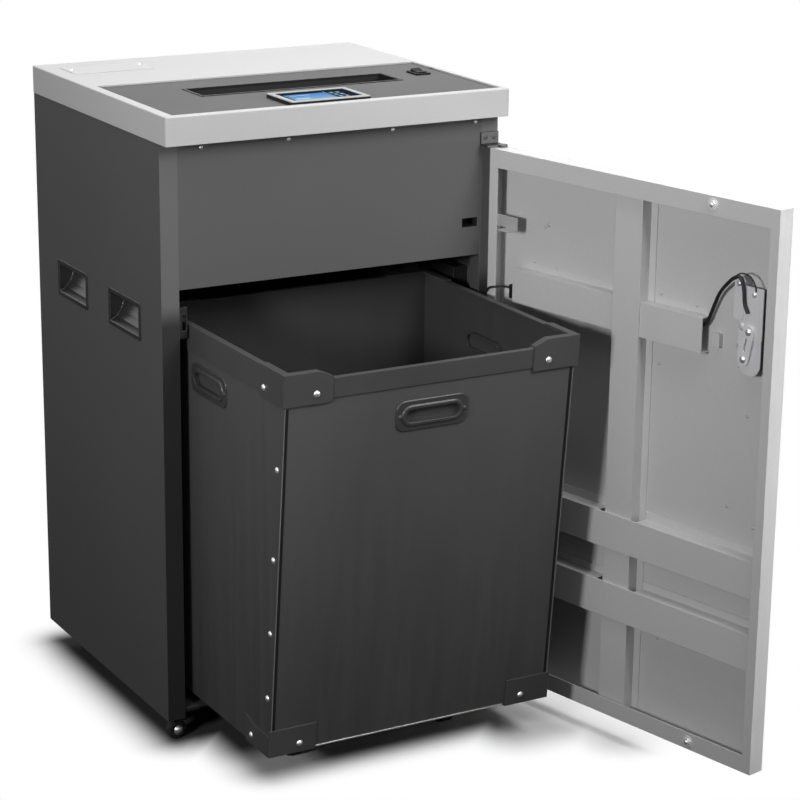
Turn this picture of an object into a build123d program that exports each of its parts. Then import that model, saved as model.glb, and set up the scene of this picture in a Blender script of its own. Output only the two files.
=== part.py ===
from build123d import *
import math
import os

# Floor-standing cross-cut paper shredder, in millimetres. X runs right, Y to the back, Z up, and the
# origin is on the floor under the middle of the lid. The door is drawn shut and then swung open about its
# pins. The bin is drawn where it stands, rolled out of the cabinet.

# Sheet and running fits
SHEET = 1.5
FOLD_GAP = 0.5
RUNNING_FIT = 0.05
SEAT_GAP = 0.3
CUT_PAST = 1.0

# Cabinet body
LID_WIDTH = 560.0
LID_DEPTH = 502.0
LID_HEIGHT = 41.5
LID_WALL = 2.5
LID_CORNER = 4.0
LID_EDGE = 1.5
LID_SIDE_LAP = 2.0
LID_LIP = 12.0
BODY_BOTTOM = 38.0
BODY_HEIGHT = 877.5
POST_WIDTH = 28.0
POST_DEPTH = 27.0
REAR_RETURN = 20.0
BASE_THICK = 3.0
BASE_RAISE = 12.0
BASE_LEG = 92.0
BASE_REAR = 33.0
PANEL_HEIGHT = 214.5
DECK_THICK = 2.0

# Side grips, let into both side panels
GRIP_LENGTH = 117.0
GRIP_HEIGHT = 57.0
GRIP_FLANGE = 4.0
GRIP_PROUD = 1.2
GRIP_WALL = 2.0
GRIP_DEPTH = 26.0
GRIP_SCOOP = ((0.0, 0.0), (0.4, 0.13), (0.7, 0.34), (0.9, 0.62), (1.0, 0.9))
GRIP_DROP = 276.5
GRIP_PLACES = (-89.0, 110.0)

# Lid inlay, feed slot, display and switch
INLAY_MARGIN_LEFT = 16.0
INLAY_MARGIN_RIGHT = 8.0
INLAY_MARGIN_FRONT = 14.0
INLAY_DEPTH = 269.0
INLAY_THICK = 3.0
INLAY_LEDGE = 4.0
SLOT_LENGTH = 333.0
SLOT_DEPTH = 66.0
SLOT_X = 11.5
SLOT_SETBACK = 167.0
THROAT_WALL = 2.0
THROAT_FLANGE = 2.0
THROAT_RIM = 1.0
THROAT_EXIT_MARGIN = 6.0
THROAT_EXIT_DEPTH = 12.0
DISPLAY_X = -10.0
DISPLAY_SETBACK = 46.0
DISPLAY_WIDTH = 130.0
DISPLAY_DEPTH = 84.0
DISPLAY_BORDER = 9.0
DISPLAY_PROUD = 6.0
DISPLAY_GLASS_DROP = 0.8
DISPLAY_CORNER = 4.0
DISPLAY_EDGE = 1.0
SWITCH_FROM_RIGHT = 39.0
SWITCH_SETBACK = 178.0
SWITCH_WIDTH = 25.0
SWITCH_LENGTH = 34.0
SWITCH_FLANGE = 1.5
SWITCH_PROUD = 2.5
SWITCH_WALL = 2.5
SWITCH_DEEP = 16.0
ROCKER_GAP = 0.5
ROCKER_TILT = 8.0
ROCKER_RISE = 5.5
ROCKER_DISH = 3.5
ROCKER_PIN = 1.5

# Cutting head
HEAD_SLOT_MARGIN = 8.5
HEAD_PLATE = 8.0
HEAD_FRONT_REACH = 70.0
HEAD_BACK_REACH = 146.0
HEAD_HEIGHT = 145.5
HEAD_CHAMFER = 25.0
SHAFT_RISE = 95.5
SHAFT_RADIUS = 10.0
SPACER_RADIUS = 15.0
DISC_RADIUS = 26.0
DISC_COUNT = 19
DISC_TEETH = 6
DISC_TOOTH = 3.0
DISC_RAMP = ((0.0, 1.0), (0.45, 1 / 3), (0.85, 0.0))
DISC_STAGGER = 14.0
DISC_CLEAR = 0.3
NIP_CLEAR = 3.0
BUSH_WALL = 6.0
BUSH_FLANGE = 2.0
GEAR_OFF_BUSH = 1.0
MOTOR_HOLE_CLEAR = 2.0
COMB_BAR = 8.0
COMB_HEIGHT = 28.0
FINGER_HEIGHT = 16.0
FINGER_CLEAR = 0.8
TIE_RADIUS = 6.0
TIE_INSET = 14.0
OUTLET_MARGIN = 8.0

# Drive
GEAR_MODULE = 3.0
SYNC_TEETH = 14
DRIVE_TEETH = 40
PINION_TEETH = 10
GEAR_ADDENDUM = 0.8
GEAR_DEDENDUM = 1.25
GEAR_TIP_SHARE = 0.1
GEAR_ROOT_SHARE = 0.27
GEAR_WIDTH = 11.0
GEAR_STEP = 3.0
MOTOR_RADIUS = 36.0
MOTOR_LENGTH = 140.0
MOTOR_SHAFT = 6.0
MOTOR_NECK = 24.0
MOTOR_BELL = 0.3
MOTOR_CAN = (0.94, 0.32, 0.8)
MOTOR_NOSE = 0.7
MOTOR_FLANGE = 0.82
CONTROL_HEAD_GAP = 23.5
CONTROL_DEPTH = 150.0
CONTROL_HEIGHT = 86.0
CONTROL_GAP = 12.5
CONTROL_SETBACK = 40.0
CONTROL_EDGE = 4.0

# Door
DOOR_DEPTH = 28.0
DOOR_GAP = 1.0
DOOR_BOTTOM = 41.0
DOOR_TOP_DROP = 47.5
DOOR_EDGE = 1.2
DOOR_OPEN_ANGLE = 102.6
DOOR_RIM_TOP = 28.0
DOOR_RIM_BOTTOM = 26.0
DOOR_RIM_FREE = 16.0
DOOR_RIM_HINGE = 17.0
PIVOT_INSET = 5.6
PIVOT_FROM_FRONT = 7.9
PIN_RADIUS = 4.0
PIN_REACH = 7.0
BRACKET_THICK = 3.0
BRACKET_LENGTH = 30.0
BRACKET_RISE = 20.0
BRACKET_GAP = 0.5
STILE_WIDTH = 52.0
STILE_DEPTH = 20.0
STILE_FLANGE = 12.0
RAIL_HEIGHT = 55.0
RAIL_FLANGE = 12.0
RAIL_DROP = 2.0
RAIL_PLACES = (222.5, 331.5)
COVER_HEIGHT = 52.0
COVER_DEPTH = 18.0
COVER_DROP = 37.5
COVER_HINGE_LENGTH = 208.0
COVER_LOCK_LENGTH = 117.7

# Lock, strike and interlock
LOCK_DROP = 13.0
LOCK_HEIGHT = 112.0
LOCK_WIDTH = 34.0
LOCK_DEPTH = 16.0
LOCK_INSET = 51.0
LOCK_PLATE_WIDTH = 39.5
LOCK_PLATE_HEIGHT = 126.0
LOCK_PLATE_FOOT = 14.0
LOCK_PLATE_ROUND = 18.0
LOCK_PLATE_CORNER = 3.0
LOCK_FOOT_RISE = 26.0
BOLT_COVER_WIDTH = 33.0
BOLT_COVER_HEIGHT = 74.0
BOLT_COVER_LAP = 2.0
LEAD_STRAP_WIDTH = 18.0
LEAD_STRAP_LOW = 50.0
LEAD_STRAP_HIGH = 12.0
LEAD_STRAP_LAP = 7.0
LEVER_THICK = 2.5
LEVER_WIDTH = 19.0
LEVER_LENGTH = 41.0
LEVER_LEAN = 11.0
LEVER_SLOT = 14.0
LEVER_SLOT_WIDTH = 6.0
LEVER_SLOT_PLACE = 0.48
LEVER_PIN = 4.0
LEVER_LIFT = 0.3
LEVER_ACROSS = 19.5
LEVER_DROP = 63.5
CABLE_RADIUS = 2.6
CABLE_ROUTE = ((-132.0, 672.0, 9.0), (-146.0, 684.0, 9.0), (-158.0, 710.0, 10.0), (-170.5, 732.0, 13.0),
               (-190.0, 751.0, 18.5), (-203.5, 760.5, 22.3), (-212.5, 762.0, 22.6), (-219.5, 748.0, 22.4),
               (-222.5, 726.5, 22.3), (-229.0, 714.0, 22.3))
STRIKE_DROP = 49.0
STRIKE_HEIGHT = 46.0
STRIKE_REACH = 12.0
STRIKE_FOOT = 18.0
STRIKE_THICK = 3.0
STRIKE_SLOT_PLACE = 0.6
INTERLOCK_INSET = 18.0
INTERLOCK_RISE = 51.0
INTERLOCK_WIDTH = 27.0
INTERLOCK_HEIGHT = 14.0
INTERLOCK_DEEP = 30.0
INTERLOCK_WALL = 2.5
TAB_CLEAR = 2.0
TAB_REACH = 20.0
TAB_ARM = 18.0

# Rear panel
VENT_COUNT = 7
VENT_LENGTH = 90.0
VENT_WIDTH = 5.0
VENT_PITCH = 14.0
VENT_DROP = 155.5
VENT_X = 110.0
INLET_INSET = 76.5
INLET_DROP = 155.5
INLET_WIDTH = 28.0
INLET_HEIGHT = 20.0
INLET_DEPTH = 22.0
INLET_FLANGE = 11.0
INLET_WALL = 2.0
INLET_BLADE = 4.0
INLET_BLADE_THICK = 2.0

# Swivel casters under the base
CASTER_INSET_X = 34.0
CASTER_REAR_INSET_X = 72.0
CASTER_INSET_FRONT = 22.0
CASTER_INSET_REAR = 44.0
CASTER_RADIUS = 15.0
CASTER_WIDTH = 14.0
CASTER_TRAIL = 12.0
CASTER_PLATE = 40.0
CASTER_PLATE_THICK = 3.0
CASTER_BOSS = 9.0
CASTER_PIN = 4.0
CASTER_AXLE = 3.0
FORK_SHEET = 2.0
FORK_CROWN = 3.0
FORK_HEAD = 12.0
FORK_LEG = 14.0
FORK_GAP = 0.6
CROWN_CLEAR = 1.0

# Bin
BIN_SIDE_GAP = 18.0
BIN_DEPTH = 430.0
BIN_TOP_DROP = 55.0
BIN_BOTTOM = 72.0
BIN_ROLLED_OUT = 300.0
BIN_LEAN = 53.5
BIN_BOARD = 3.0
RIM_SHEET = 2.0
RIM_HEIGHT = 38.0
RIM_INNER = 8.0
RIM_DIP = 11.0
CAP_SHEET = 2.0
CAP_LENGTH = 75.0
CAP_FLAT = 50.0
CAP_HEIGHT = 47.0
CAP_FOOT_HEIGHT = 31.0
CAP_EAR_HEIGHT = 40.0
CAP_EAR_START = 46.0
HANDLE_LENGTH = 116.0
HANDLE_HEIGHT = 46.0
HANDLE_ROUND = 15.0
HANDLE_OPENING = 88.0
HANDLE_OPENING_HEIGHT = 20.0
HANDLE_WALL = 3.0
HANDLE_LIP = 2.5
HANDLE_PROUD = 2.0
HANDLE_LIP_PROUD = 4.0
HANDLE_DEEP = 8.0
HANDLE_DROP = 82.0
HANDLE_SIDE_RISE = 10.0
HANDLE_SIDE_SETBACK = 240.0
BIN_WHEEL_RADIUS = 25.0
BIN_WHEEL_WIDTH = 22.0
BIN_WHEEL_X = 130.0
BIN_WHEEL_SETBACKS = (135.0, 320.0)
BIN_AXLE = 6.0
EAR_SHEET = 4.0
EAR_LENGTH = 34.0
EAR_GAP = 1.0
EAR_DROP = 9.0
AXLE_END = 2.0

# Places worked out from the sizes above
BODY_TOP = BODY_BOTTOM + BODY_HEIGHT
LID_TOP = BODY_TOP + LID_HEIGHT
SIDE_X = LID_WIDTH / 2 - LID_SIDE_LAP
INNER_X = SIDE_X - SHEET
POST_X = SIDE_X - POST_WIDTH
FRONT_Y = -LID_DEPTH / 2 + DOOR_DEPTH + DOOR_GAP
BACK_Y = LID_DEPTH / 2
POST_BACK = FRONT_Y + POST_DEPTH
REAR_Y = BACK_Y - SHEET
REAR_INNER = REAR_Y - SHEET
BASE_Z = BODY_BOTTOM + BASE_RAISE
BASE_TOP = BASE_Z + BASE_THICK
PANEL_BOTTOM = BODY_TOP - PANEL_HEIGHT
DECK_Z = PANEL_BOTTOM + SHEET
DECK_TOP = DECK_Z + DECK_THICK
GRIP_Z = BODY_TOP - GRIP_DROP
VENT_Z = BODY_TOP - VENT_DROP
INLET_X = -INNER_X + INLET_INSET
INLET_Z = BODY_TOP - INLET_DROP
INTERLOCK_Z = PANEL_BOTTOM + INTERLOCK_RISE
STRIKE_Z = PANEL_BOTTOM - STRIKE_DROP
LOCK_Z = PANEL_BOTTOM - LOCK_DROP
COVER_Z = PANEL_BOTTOM - COVER_DROP
SHAFT_Z = DECK_TOP + SHAFT_RISE
HEAD_TOP = DECK_TOP + HEAD_HEIGHT
HEAD_INNER = SLOT_LENGTH - 2 * HEAD_SLOT_MARGIN
THROAT_EXIT_LENGTH = HEAD_INNER - 2 * THROAT_EXIT_MARGIN
INLAY_TOP = LID_TOP - LID_WALL
INLAY_LEFT = -LID_WIDTH / 2 + INLAY_MARGIN_LEFT
INLAY_RIGHT = LID_WIDTH / 2 - INLAY_MARGIN_RIGHT
INLAY_FRONT = -LID_DEPTH / 2 + INLAY_MARGIN_FRONT
SLOT_Y = INLAY_FRONT + SLOT_SETBACK
DISPLAY_Y = INLAY_FRONT + DISPLAY_SETBACK
SWITCH_X = INLAY_RIGHT - SWITCH_FROM_RIGHT
SWITCH_Y = INLAY_FRONT + SWITCH_SETBACK
HEAD_FRONT = SLOT_Y - HEAD_FRONT_REACH
HEAD_BACK = SLOT_Y + HEAD_BACK_REACH
CONTROL_Y = SLOT_Y + CONTROL_SETBACK
INTERLOCK_X = POST_X - INTERLOCK_INSET
HEAD_LEFT = SLOT_X - HEAD_INNER / 2
HEAD_RIGHT = SLOT_X + HEAD_INNER / 2
CONTROL_LEFT = -INNER_X + CONTROL_GAP
CONTROL_RIGHT = HEAD_LEFT - HEAD_PLATE - BUSH_FLANGE - CONTROL_HEAD_GAP
SHAFT_SPAN = GEAR_MODULE * SYNC_TEETH
FRONT_SHAFT_Y = SLOT_Y - SHAFT_SPAN / 2
REAR_SHAFT_Y = SLOT_Y + SHAFT_SPAN / 2
MOTOR_Y = REAR_SHAFT_Y + GEAR_MODULE * (DRIVE_TEETH + PINION_TEETH) / 2
DISC_PITCH = HEAD_INNER / (DISC_COUNT + 0.5)
DISC_WIDTH = DISC_PITCH / 2 - DISC_CLEAR
NIP_Z = SHAFT_Z + DISC_RADIUS + NIP_CLEAR
SYNC_X = HEAD_RIGHT + HEAD_PLATE + BUSH_FLANGE + GEAR_OFF_BUSH
DRIVE_X = SYNC_X + GEAR_WIDTH + GEAR_STEP
DOOR_WIDTH = LID_WIDTH
DOOR_TOP = BODY_TOP - DOOR_TOP_DROP
DOOR_FRONT = -LID_DEPTH / 2
DOOR_BACK = DOOR_FRONT + DOOR_DEPTH
DOOR_SKIN = DOOR_FRONT + SHEET
PIVOT = (DOOR_WIDTH / 2 - PIVOT_INSET, DOOR_FRONT + PIVOT_FROM_FRONT)
LOCK_X = -DOOR_WIDTH / 2 + LOCK_INSET
BIN_WIDTH = 2 * (POST_X - BIN_SIDE_GAP)
BIN_FRONT = FRONT_Y - BIN_ROLLED_OUT
BIN_BACK = BIN_FRONT + BIN_DEPTH
BIN_TOP = PANEL_BOTTOM - BIN_TOP_DROP
HANDLE_Z = BIN_TOP - HANDLE_DROP
HANDLE_SIDE_Z = HANDLE_Z + HANDLE_SIDE_RISE
BIN_FOOT = BIN_FRONT + BIN_LEAN
CASTER_X = SIDE_X - CASTER_INSET_X
CASTER_REAR_X = SIDE_X - CASTER_REAR_INSET_X
CASTER_FRONT_Y = FRONT_Y + CASTER_INSET_FRONT
CASTER_REAR_Y = BACK_Y - CASTER_INSET_REAR
CROWN_Z = 2 * CASTER_RADIUS + CROWN_CLEAR
CROWN_TOP = CROWN_Z + FORK_CROWN

PARTS = {}


def block(x0, x1, y0, y1, z0, z1):
    """A box given by its two faces on each axis."""
    middle = Pos((x0 + x1) / 2, (y0 + y1) / 2, (z0 + z1) / 2)
    return middle * Box(x1 - x0, y1 - y0, z1 - z0)


def prism(section, axis, start, end):
    """A section drawn on the plane square to an axis, carried between two stations on it."""
    if axis == "x":
        return extrude(Plane.YZ.offset(start) * section, end - start, dir=(1, 0, 0))
    if axis == "y":
        return extrude(Plane.XZ.offset(-start) * section, end - start, dir=(0, 1, 0))
    return extrude(Plane.XY.offset(start) * section, end - start, dir=(0, 0, 1))


def rod(axis, centre, radius, start, end):
    """A round bar along an axis, with its centre on the other two axes."""
    return prism(Pos(*centre) * Circle(radius), axis, start, end)


def right_normal(a, b):
    """The unit vector to the right of the way from one point to the next."""
    length = math.dist(a, b)
    return (b[1] - a[1]) / length, (a[0] - b[0]) / length


def folded(points, sheet):
    """The section of a folded sheet: its outer line, and a mitred copy one sheet to the right."""
    normals = [right_normal(a, b) for a, b in zip(points, points[1:])]
    inner = []
    for index, (x, y) in enumerate(points):
        before = normals[max(index - 1, 0)]
        after = normals[min(index, len(normals) - 1)]
        mitre = sheet / (1 + before[0] * after[0] + before[1] * after[1])
        inner.append((x + (before[0] + after[0]) * mitre, y + (before[1] + after[1]) * mitre))
    return Polygon(*points, *reversed(inner), align=None)


def hat(width, depth, flange, sheet):
    """The section of a hat rail standing on the line y = 0, with its crown at y = depth."""
    half = width / 2
    points = [(-half - flange, sheet), (-half, sheet), (-half, depth),
              (half, depth), (half, sheet), (half + flange, sheet)]
    return folded(points, sheet)


def mirrored(part):
    """The same piece on the other side of the cabinet."""
    return mirror(part, about=Plane.YZ)


def swung(part):
    """A door piece carried from the shut door to the open one."""
    hinge = Location((PIVOT[0], PIVOT[1], 0), (0, 0, DOOR_OPEN_ANGLE))
    return hinge * (Pos(-PIVOT[0], -PIVOT[1], 0) * part)


# Cabinet
def side_panel():
    """Left panel: one sheet folded round into a boxed front post, with a return at the back."""
    line = [(-INNER_X + FOLD_GAP, POST_BACK), (-POST_X, POST_BACK), (-POST_X, FRONT_Y),
            (-SIDE_X, FRONT_Y), (-SIDE_X, BACK_Y), (-SIDE_X + REAR_RETURN, BACK_Y)]
    panel = prism(folded(line, SHEET), "z", BODY_BOTTOM, BODY_TOP)
    panel -= block(-INNER_X, -POST_X + CUT_PAST, FRONT_Y + SHEET, POST_BACK + CUT_PAST, BODY_BOTTOM, BASE_TOP)
    hole_length = GRIP_LENGTH - 2 * GRIP_FLANGE
    hole_height = GRIP_HEIGHT - 2 * GRIP_FLANGE
    for y in GRIP_PLACES:
        panel -= Pos(-SIDE_X, y, GRIP_Z) * Box(4 * SHEET, hole_length, hole_height)
    return panel


def side_grip(y):
    """A moulded cup for the hand: a thin flange outside, and a pocket with a scooped floor."""
    length = GRIP_LENGTH - 2 * GRIP_FLANGE - 2 * SEAT_GAP
    height = GRIP_HEIGHT - 2 * GRIP_FLANGE - 2 * SEAT_GAP
    back = -SIDE_X + GRIP_DEPTH
    cup = block(-SIDE_X, back, y - length / 2, y + length / 2,
                GRIP_Z - height / 2, GRIP_Z + height / 2)
    flange = RectangleRounded(GRIP_LENGTH, GRIP_HEIGHT, GRIP_FLANGE)
    cup += prism(Pos(y, GRIP_Z) * flange, "x", -SIDE_X - GRIP_PROUD, -SIDE_X)
    low = GRIP_Z - height / 2 + GRIP_WALL
    high = GRIP_Z + height / 2 - GRIP_WALL
    mouth = -SIDE_X - GRIP_PROUD
    depth = back - GRIP_WALL - mouth
    scoop = [(mouth + share * depth, low + rise * (high - low)) for share, rise in GRIP_SCOOP]
    pocket = Polygon(*scoop, (back - GRIP_WALL, high), (mouth, high), align=None)
    return cup - prism(pocket, "y", y - length / 2 + GRIP_WALL, y + length / 2 - GRIP_WALL)


def rear_panel():
    """Back sheet behind the side returns, with cooling slots and the inlet's hole."""
    panel = block(-INNER_X, INNER_X, REAR_INNER, REAR_Y, BODY_BOTTOM, BODY_TOP)
    for row in range(VENT_COUNT):
        z = VENT_Z + row * VENT_PITCH
        panel -= Pos(VENT_X, REAR_Y, z) * Box(VENT_LENGTH, 4 * SHEET, VENT_WIDTH)
    return panel - Pos(INLET_X, REAR_Y, INLET_Z) * Box(INLET_WIDTH, 4 * SHEET, INLET_HEIGHT)


def power_inlet():
    """Appliance inlet: a flange outside the back sheet, an open socket and three blades."""
    width = INLET_WIDTH - 2 * SEAT_GAP
    height = INLET_HEIGHT - 2 * SEAT_GAP
    inner_end = REAR_Y - INLET_DEPTH
    inlet = block(INLET_X - width / 2, INLET_X + width / 2, inner_end, REAR_Y,
                  INLET_Z - height / 2, INLET_Z + height / 2)
    flange = RectangleRounded(width + 2 * INLET_FLANGE, height + INLET_WALL * 2, INLET_WALL)
    inlet += prism(Pos(INLET_X, INLET_Z) * flange, "y", REAR_Y, BACK_Y)
    inlet -= block(INLET_X - width / 2 + INLET_WALL, INLET_X + width / 2 - INLET_WALL,
                   inner_end + INLET_WALL, BACK_Y, INLET_Z - height / 2 + INLET_WALL,
                   INLET_Z + height / 2 - INLET_WALL)
    for step in (-1, 0, 1):
        x = INLET_X + step * width / 4
        z = INLET_Z + (INLET_BLADE / 2 if step == 0 else -INLET_BLADE / 2)
        inlet += block(x - INLET_BLADE_THICK / 2, x + INLET_BLADE_THICK / 2, inner_end + INLET_WALL,
                       REAR_Y - INLET_WALL, z - INLET_BLADE / 2, z + INLET_BLADE / 2)
    return inlet


def base_frame():
    """Base plate cut to a U, open to the front, so that the bin rolls in on the floor."""
    base = block(-INNER_X, INNER_X, FRONT_Y + SHEET, REAR_INNER, BASE_Z, BASE_TOP)
    opening = INNER_X - BASE_LEG
    return base - block(-opening, opening, FRONT_Y, REAR_INNER - BASE_REAR,
                        BASE_Z - CUT_PAST, BASE_TOP + CUT_PAST)


def upper_front_panel():
    """Front sheet of the head, folded back on all four sides, with the interlock's slot."""
    body = block(-POST_X, POST_X, FRONT_Y, POST_BACK, PANEL_BOTTOM, BODY_TOP)
    panel = offset(body, -SHEET, openings=body.faces().sort_by(Axis.Y)[-1])
    slot = Box(INTERLOCK_WIDTH, 4 * SHEET, INTERLOCK_HEIGHT)
    return panel - Pos(INTERLOCK_X, FRONT_Y, INTERLOCK_Z) * slot


def head_deck():
    """Plate under the cutting head, resting on the front panel's fold, with the chip outlet."""
    tongue = POST_X - SHEET
    deck = block(-INNER_X, INNER_X, POST_BACK, REAR_INNER, DECK_Z, DECK_TOP)
    deck += block(-tongue, tongue, FRONT_Y + SHEET, POST_BACK, DECK_Z, DECK_TOP)
    return deck - block(HEAD_LEFT + OUTLET_MARGIN, HEAD_RIGHT - OUTLET_MARGIN,
                        FRONT_SHAFT_Y - DISC_RADIUS, REAR_SHAFT_Y + DISC_RADIUS,
                        DECK_Z - CUT_PAST, DECK_TOP + CUT_PAST)


def lid_shell():
    """Hollow lid with rounded edges, a window for the inlay and a turned-in lip below."""
    outline = RectangleRounded(LID_WIDTH, LID_DEPTH, LID_CORNER)
    lid = prism(outline, "z", BODY_TOP, LID_TOP)
    lid = fillet(lid.edges().group_by(Axis.Z)[-1], LID_EDGE)
    half_x = LID_WIDTH / 2 - LID_WALL
    half_y = LID_DEPTH / 2 - LID_WALL
    lid -= block(-half_x, half_x, -half_y, half_y, BODY_TOP + LID_WALL, INLAY_TOP)
    lid -= block(-INNER_X + LID_LIP, INNER_X - LID_LIP, FRONT_Y + LID_LIP, BACK_Y - LID_LIP,
                 BODY_TOP, BODY_TOP + LID_WALL)
    return lid - block(INLAY_LEFT, INLAY_RIGHT, INLAY_FRONT, INLAY_FRONT + INLAY_DEPTH,
                       INLAY_TOP, LID_TOP)


def lid_inlay():
    """Dark panel under the lid's window, holed for the throat, the switch and the display's lead."""
    inlay = block(INLAY_LEFT - INLAY_LEDGE, INLAY_RIGHT + INLAY_LEDGE, INLAY_FRONT - INLAY_LEDGE,
                  INLAY_FRONT + INLAY_DEPTH + INLAY_LEDGE, INLAY_TOP - INLAY_THICK, INLAY_TOP)
    hole_z = INLAY_TOP - INLAY_THICK / 2
    inlay -= Pos(SLOT_X, SLOT_Y, hole_z) * Box(SLOT_LENGTH, SLOT_DEPTH, 2 * INLAY_THICK)
    switch_hole = Box(SWITCH_WIDTH - 2 * SWITCH_FLANGE, SWITCH_LENGTH - 2 * SWITCH_FLANGE,
                      2 * INLAY_THICK)
    return inlay - Pos(SWITCH_X, SWITCH_Y, hole_z) * switch_hole


def throat_funnel(shrink):
    """Tapered solid from the feed slot down to the nip, drawn in by a wall."""
    top = Rectangle(SLOT_LENGTH - 2 * SEAT_GAP - 2 * shrink, SLOT_DEPTH - 2 * SEAT_GAP - 2 * shrink)
    exit_grow = 2 * (THROAT_WALL - shrink)
    low = Rectangle(THROAT_EXIT_LENGTH + exit_grow, THROAT_EXIT_DEPTH + exit_grow)
    straight = INLAY_TOP - INLAY_THICK
    funnel = loft([Pos(SLOT_X, SLOT_Y, straight) * top, Pos(SLOT_X, SLOT_Y, NIP_Z) * low])
    return funnel + prism(Pos(SLOT_X, SLOT_Y) * top, "z", straight, INLAY_TOP)


def feed_throat():
    """Paper funnel with a thin rim on the inlay."""
    rim = Rectangle(SLOT_LENGTH + 2 * THROAT_FLANGE, SLOT_DEPTH + 2 * THROAT_FLANGE)
    inset = 2 * SEAT_GAP + 2 * THROAT_WALL
    hole = Rectangle(SLOT_LENGTH - inset, SLOT_DEPTH - inset)
    collar = prism(Pos(SLOT_X, SLOT_Y) * (rim - hole), "z", INLAY_TOP, INLAY_TOP + THROAT_RIM)
    return throat_funnel(0) - throat_funnel(THROAT_WALL) + collar


def display_bezel():
    """Frame of the touch display, standing on the inlay."""
    outline = RectangleRounded(DISPLAY_WIDTH, DISPLAY_DEPTH, DISPLAY_CORNER)
    frame = prism(Pos(DISPLAY_X, DISPLAY_Y) * outline, "z", INLAY_TOP, INLAY_TOP + DISPLAY_PROUD)
    frame = chamfer(frame.edges().group_by(Axis.Z)[-1], DISPLAY_EDGE)
    window = Rectangle(DISPLAY_WIDTH - 2 * DISPLAY_BORDER, DISPLAY_DEPTH - 2 * DISPLAY_BORDER)
    opening = prism(Pos(DISPLAY_X, DISPLAY_Y) * window, "z", INLAY_TOP, INLAY_TOP + DISPLAY_PROUD)
    return frame - opening


def display_panel():
    """Glass of the display, held in the frame a little below its top."""
    gap = 2 * DISPLAY_BORDER + 2 * SEAT_GAP
    glass = Rectangle(DISPLAY_WIDTH - gap, DISPLAY_DEPTH - gap)
    top = INLAY_TOP + DISPLAY_PROUD - DISPLAY_GLASS_DROP
    return prism(Pos(DISPLAY_X, DISPLAY_Y) * glass, "z", INLAY_TOP, top)


def switch_frame():
    """Snap-in housing of the mains switch, with the rocker's two bearing holes."""
    place = Pos(SWITCH_X, SWITCH_Y)
    flange = RectangleRounded(SWITCH_WIDTH, SWITCH_LENGTH, SWITCH_FLANGE)
    inset = 2 * SWITCH_FLANGE + 2 * SEAT_GAP
    body = Rectangle(SWITCH_WIDTH - inset, SWITCH_LENGTH - inset)
    frame = prism(place * flange, "z", INLAY_TOP, INLAY_TOP + SWITCH_PROUD)
    frame += prism(place * body, "z", INLAY_TOP - SWITCH_DEEP, INLAY_TOP)
    opening = Rectangle(SWITCH_WIDTH - inset - 2 * SWITCH_WALL, SWITCH_LENGTH - inset - 2 * SWITCH_WALL)
    frame -= prism(place * opening, "z", INLAY_TOP - SWITCH_DEEP, INLAY_TOP + SWITCH_PROUD)
    half = SWITCH_WIDTH / 2 - SWITCH_FLANGE - SEAT_GAP
    bearing = ROCKER_PIN + RUNNING_FIT
    return frame - rod("x", (SWITCH_Y, INLAY_TOP), bearing, SWITCH_X - half, SWITCH_X + half)


def switch_rocker():
    """Rocker with a dished top on its own trunnion, pressed down at the front."""
    inset = 2 * (SWITCH_FLANGE + SEAT_GAP + SWITCH_WALL + ROCKER_GAP)
    width = SWITCH_WIDTH - inset
    reach = math.sqrt((SWITCH_LENGTH - inset) ** 2 / 4 - ROCKER_RISE ** 2)
    section = Polygon((-reach, -ROCKER_RISE), (reach, -ROCKER_RISE), (reach, ROCKER_RISE),
                      (0, ROCKER_DISH), (-reach, ROCKER_RISE), align=None)
    rocker = prism(section, "x", -width / 2, width / 2)
    rocker += rod("x", (0, 0), ROCKER_PIN, -width / 2 - SWITCH_WALL, width / 2 + SWITCH_WALL)
    return Pos(SWITCH_X, SWITCH_Y, INLAY_TOP) * Rot(ROCKER_TILT, 0, 0) * rocker


# Cutting head
def head_plate(x, motor_hole):
    """Side plate of the head, standing on the deck, bored for the bushes and the motor's shaft."""
    shoulder = HEAD_TOP - HEAD_CHAMFER
    outline = Polygon((HEAD_FRONT, DECK_TOP), (HEAD_BACK, DECK_TOP), (HEAD_BACK, shoulder),
                      (HEAD_BACK - HEAD_CHAMFER, HEAD_TOP), (HEAD_FRONT + HEAD_CHAMFER, HEAD_TOP),
                      (HEAD_FRONT, shoulder), align=None)
    for y in (FRONT_SHAFT_Y, REAR_SHAFT_Y):
        outline -= Pos(y, SHAFT_Z) * Circle(SHAFT_RADIUS + BUSH_WALL)
    if motor_hole:
        outline -= Pos(MOTOR_Y, SHAFT_Z) * Circle(MOTOR_SHAFT + MOTOR_HOLE_CLEAR)
    return prism(outline, "x", x, x + HEAD_PLATE)


def tie_bars():
    """Round bars that hold the two head plates apart."""
    low = DECK_TOP + TIE_INSET + TIE_RADIUS
    places = ((HEAD_FRONT + TIE_INSET, low), (HEAD_BACK - TIE_INSET, low),
              (HEAD_FRONT + TIE_INSET + HEAD_CHAMFER, HEAD_TOP - TIE_INSET))
    return [rod("x", place, TIE_RADIUS, HEAD_LEFT, HEAD_RIGHT) for place in places]


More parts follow.
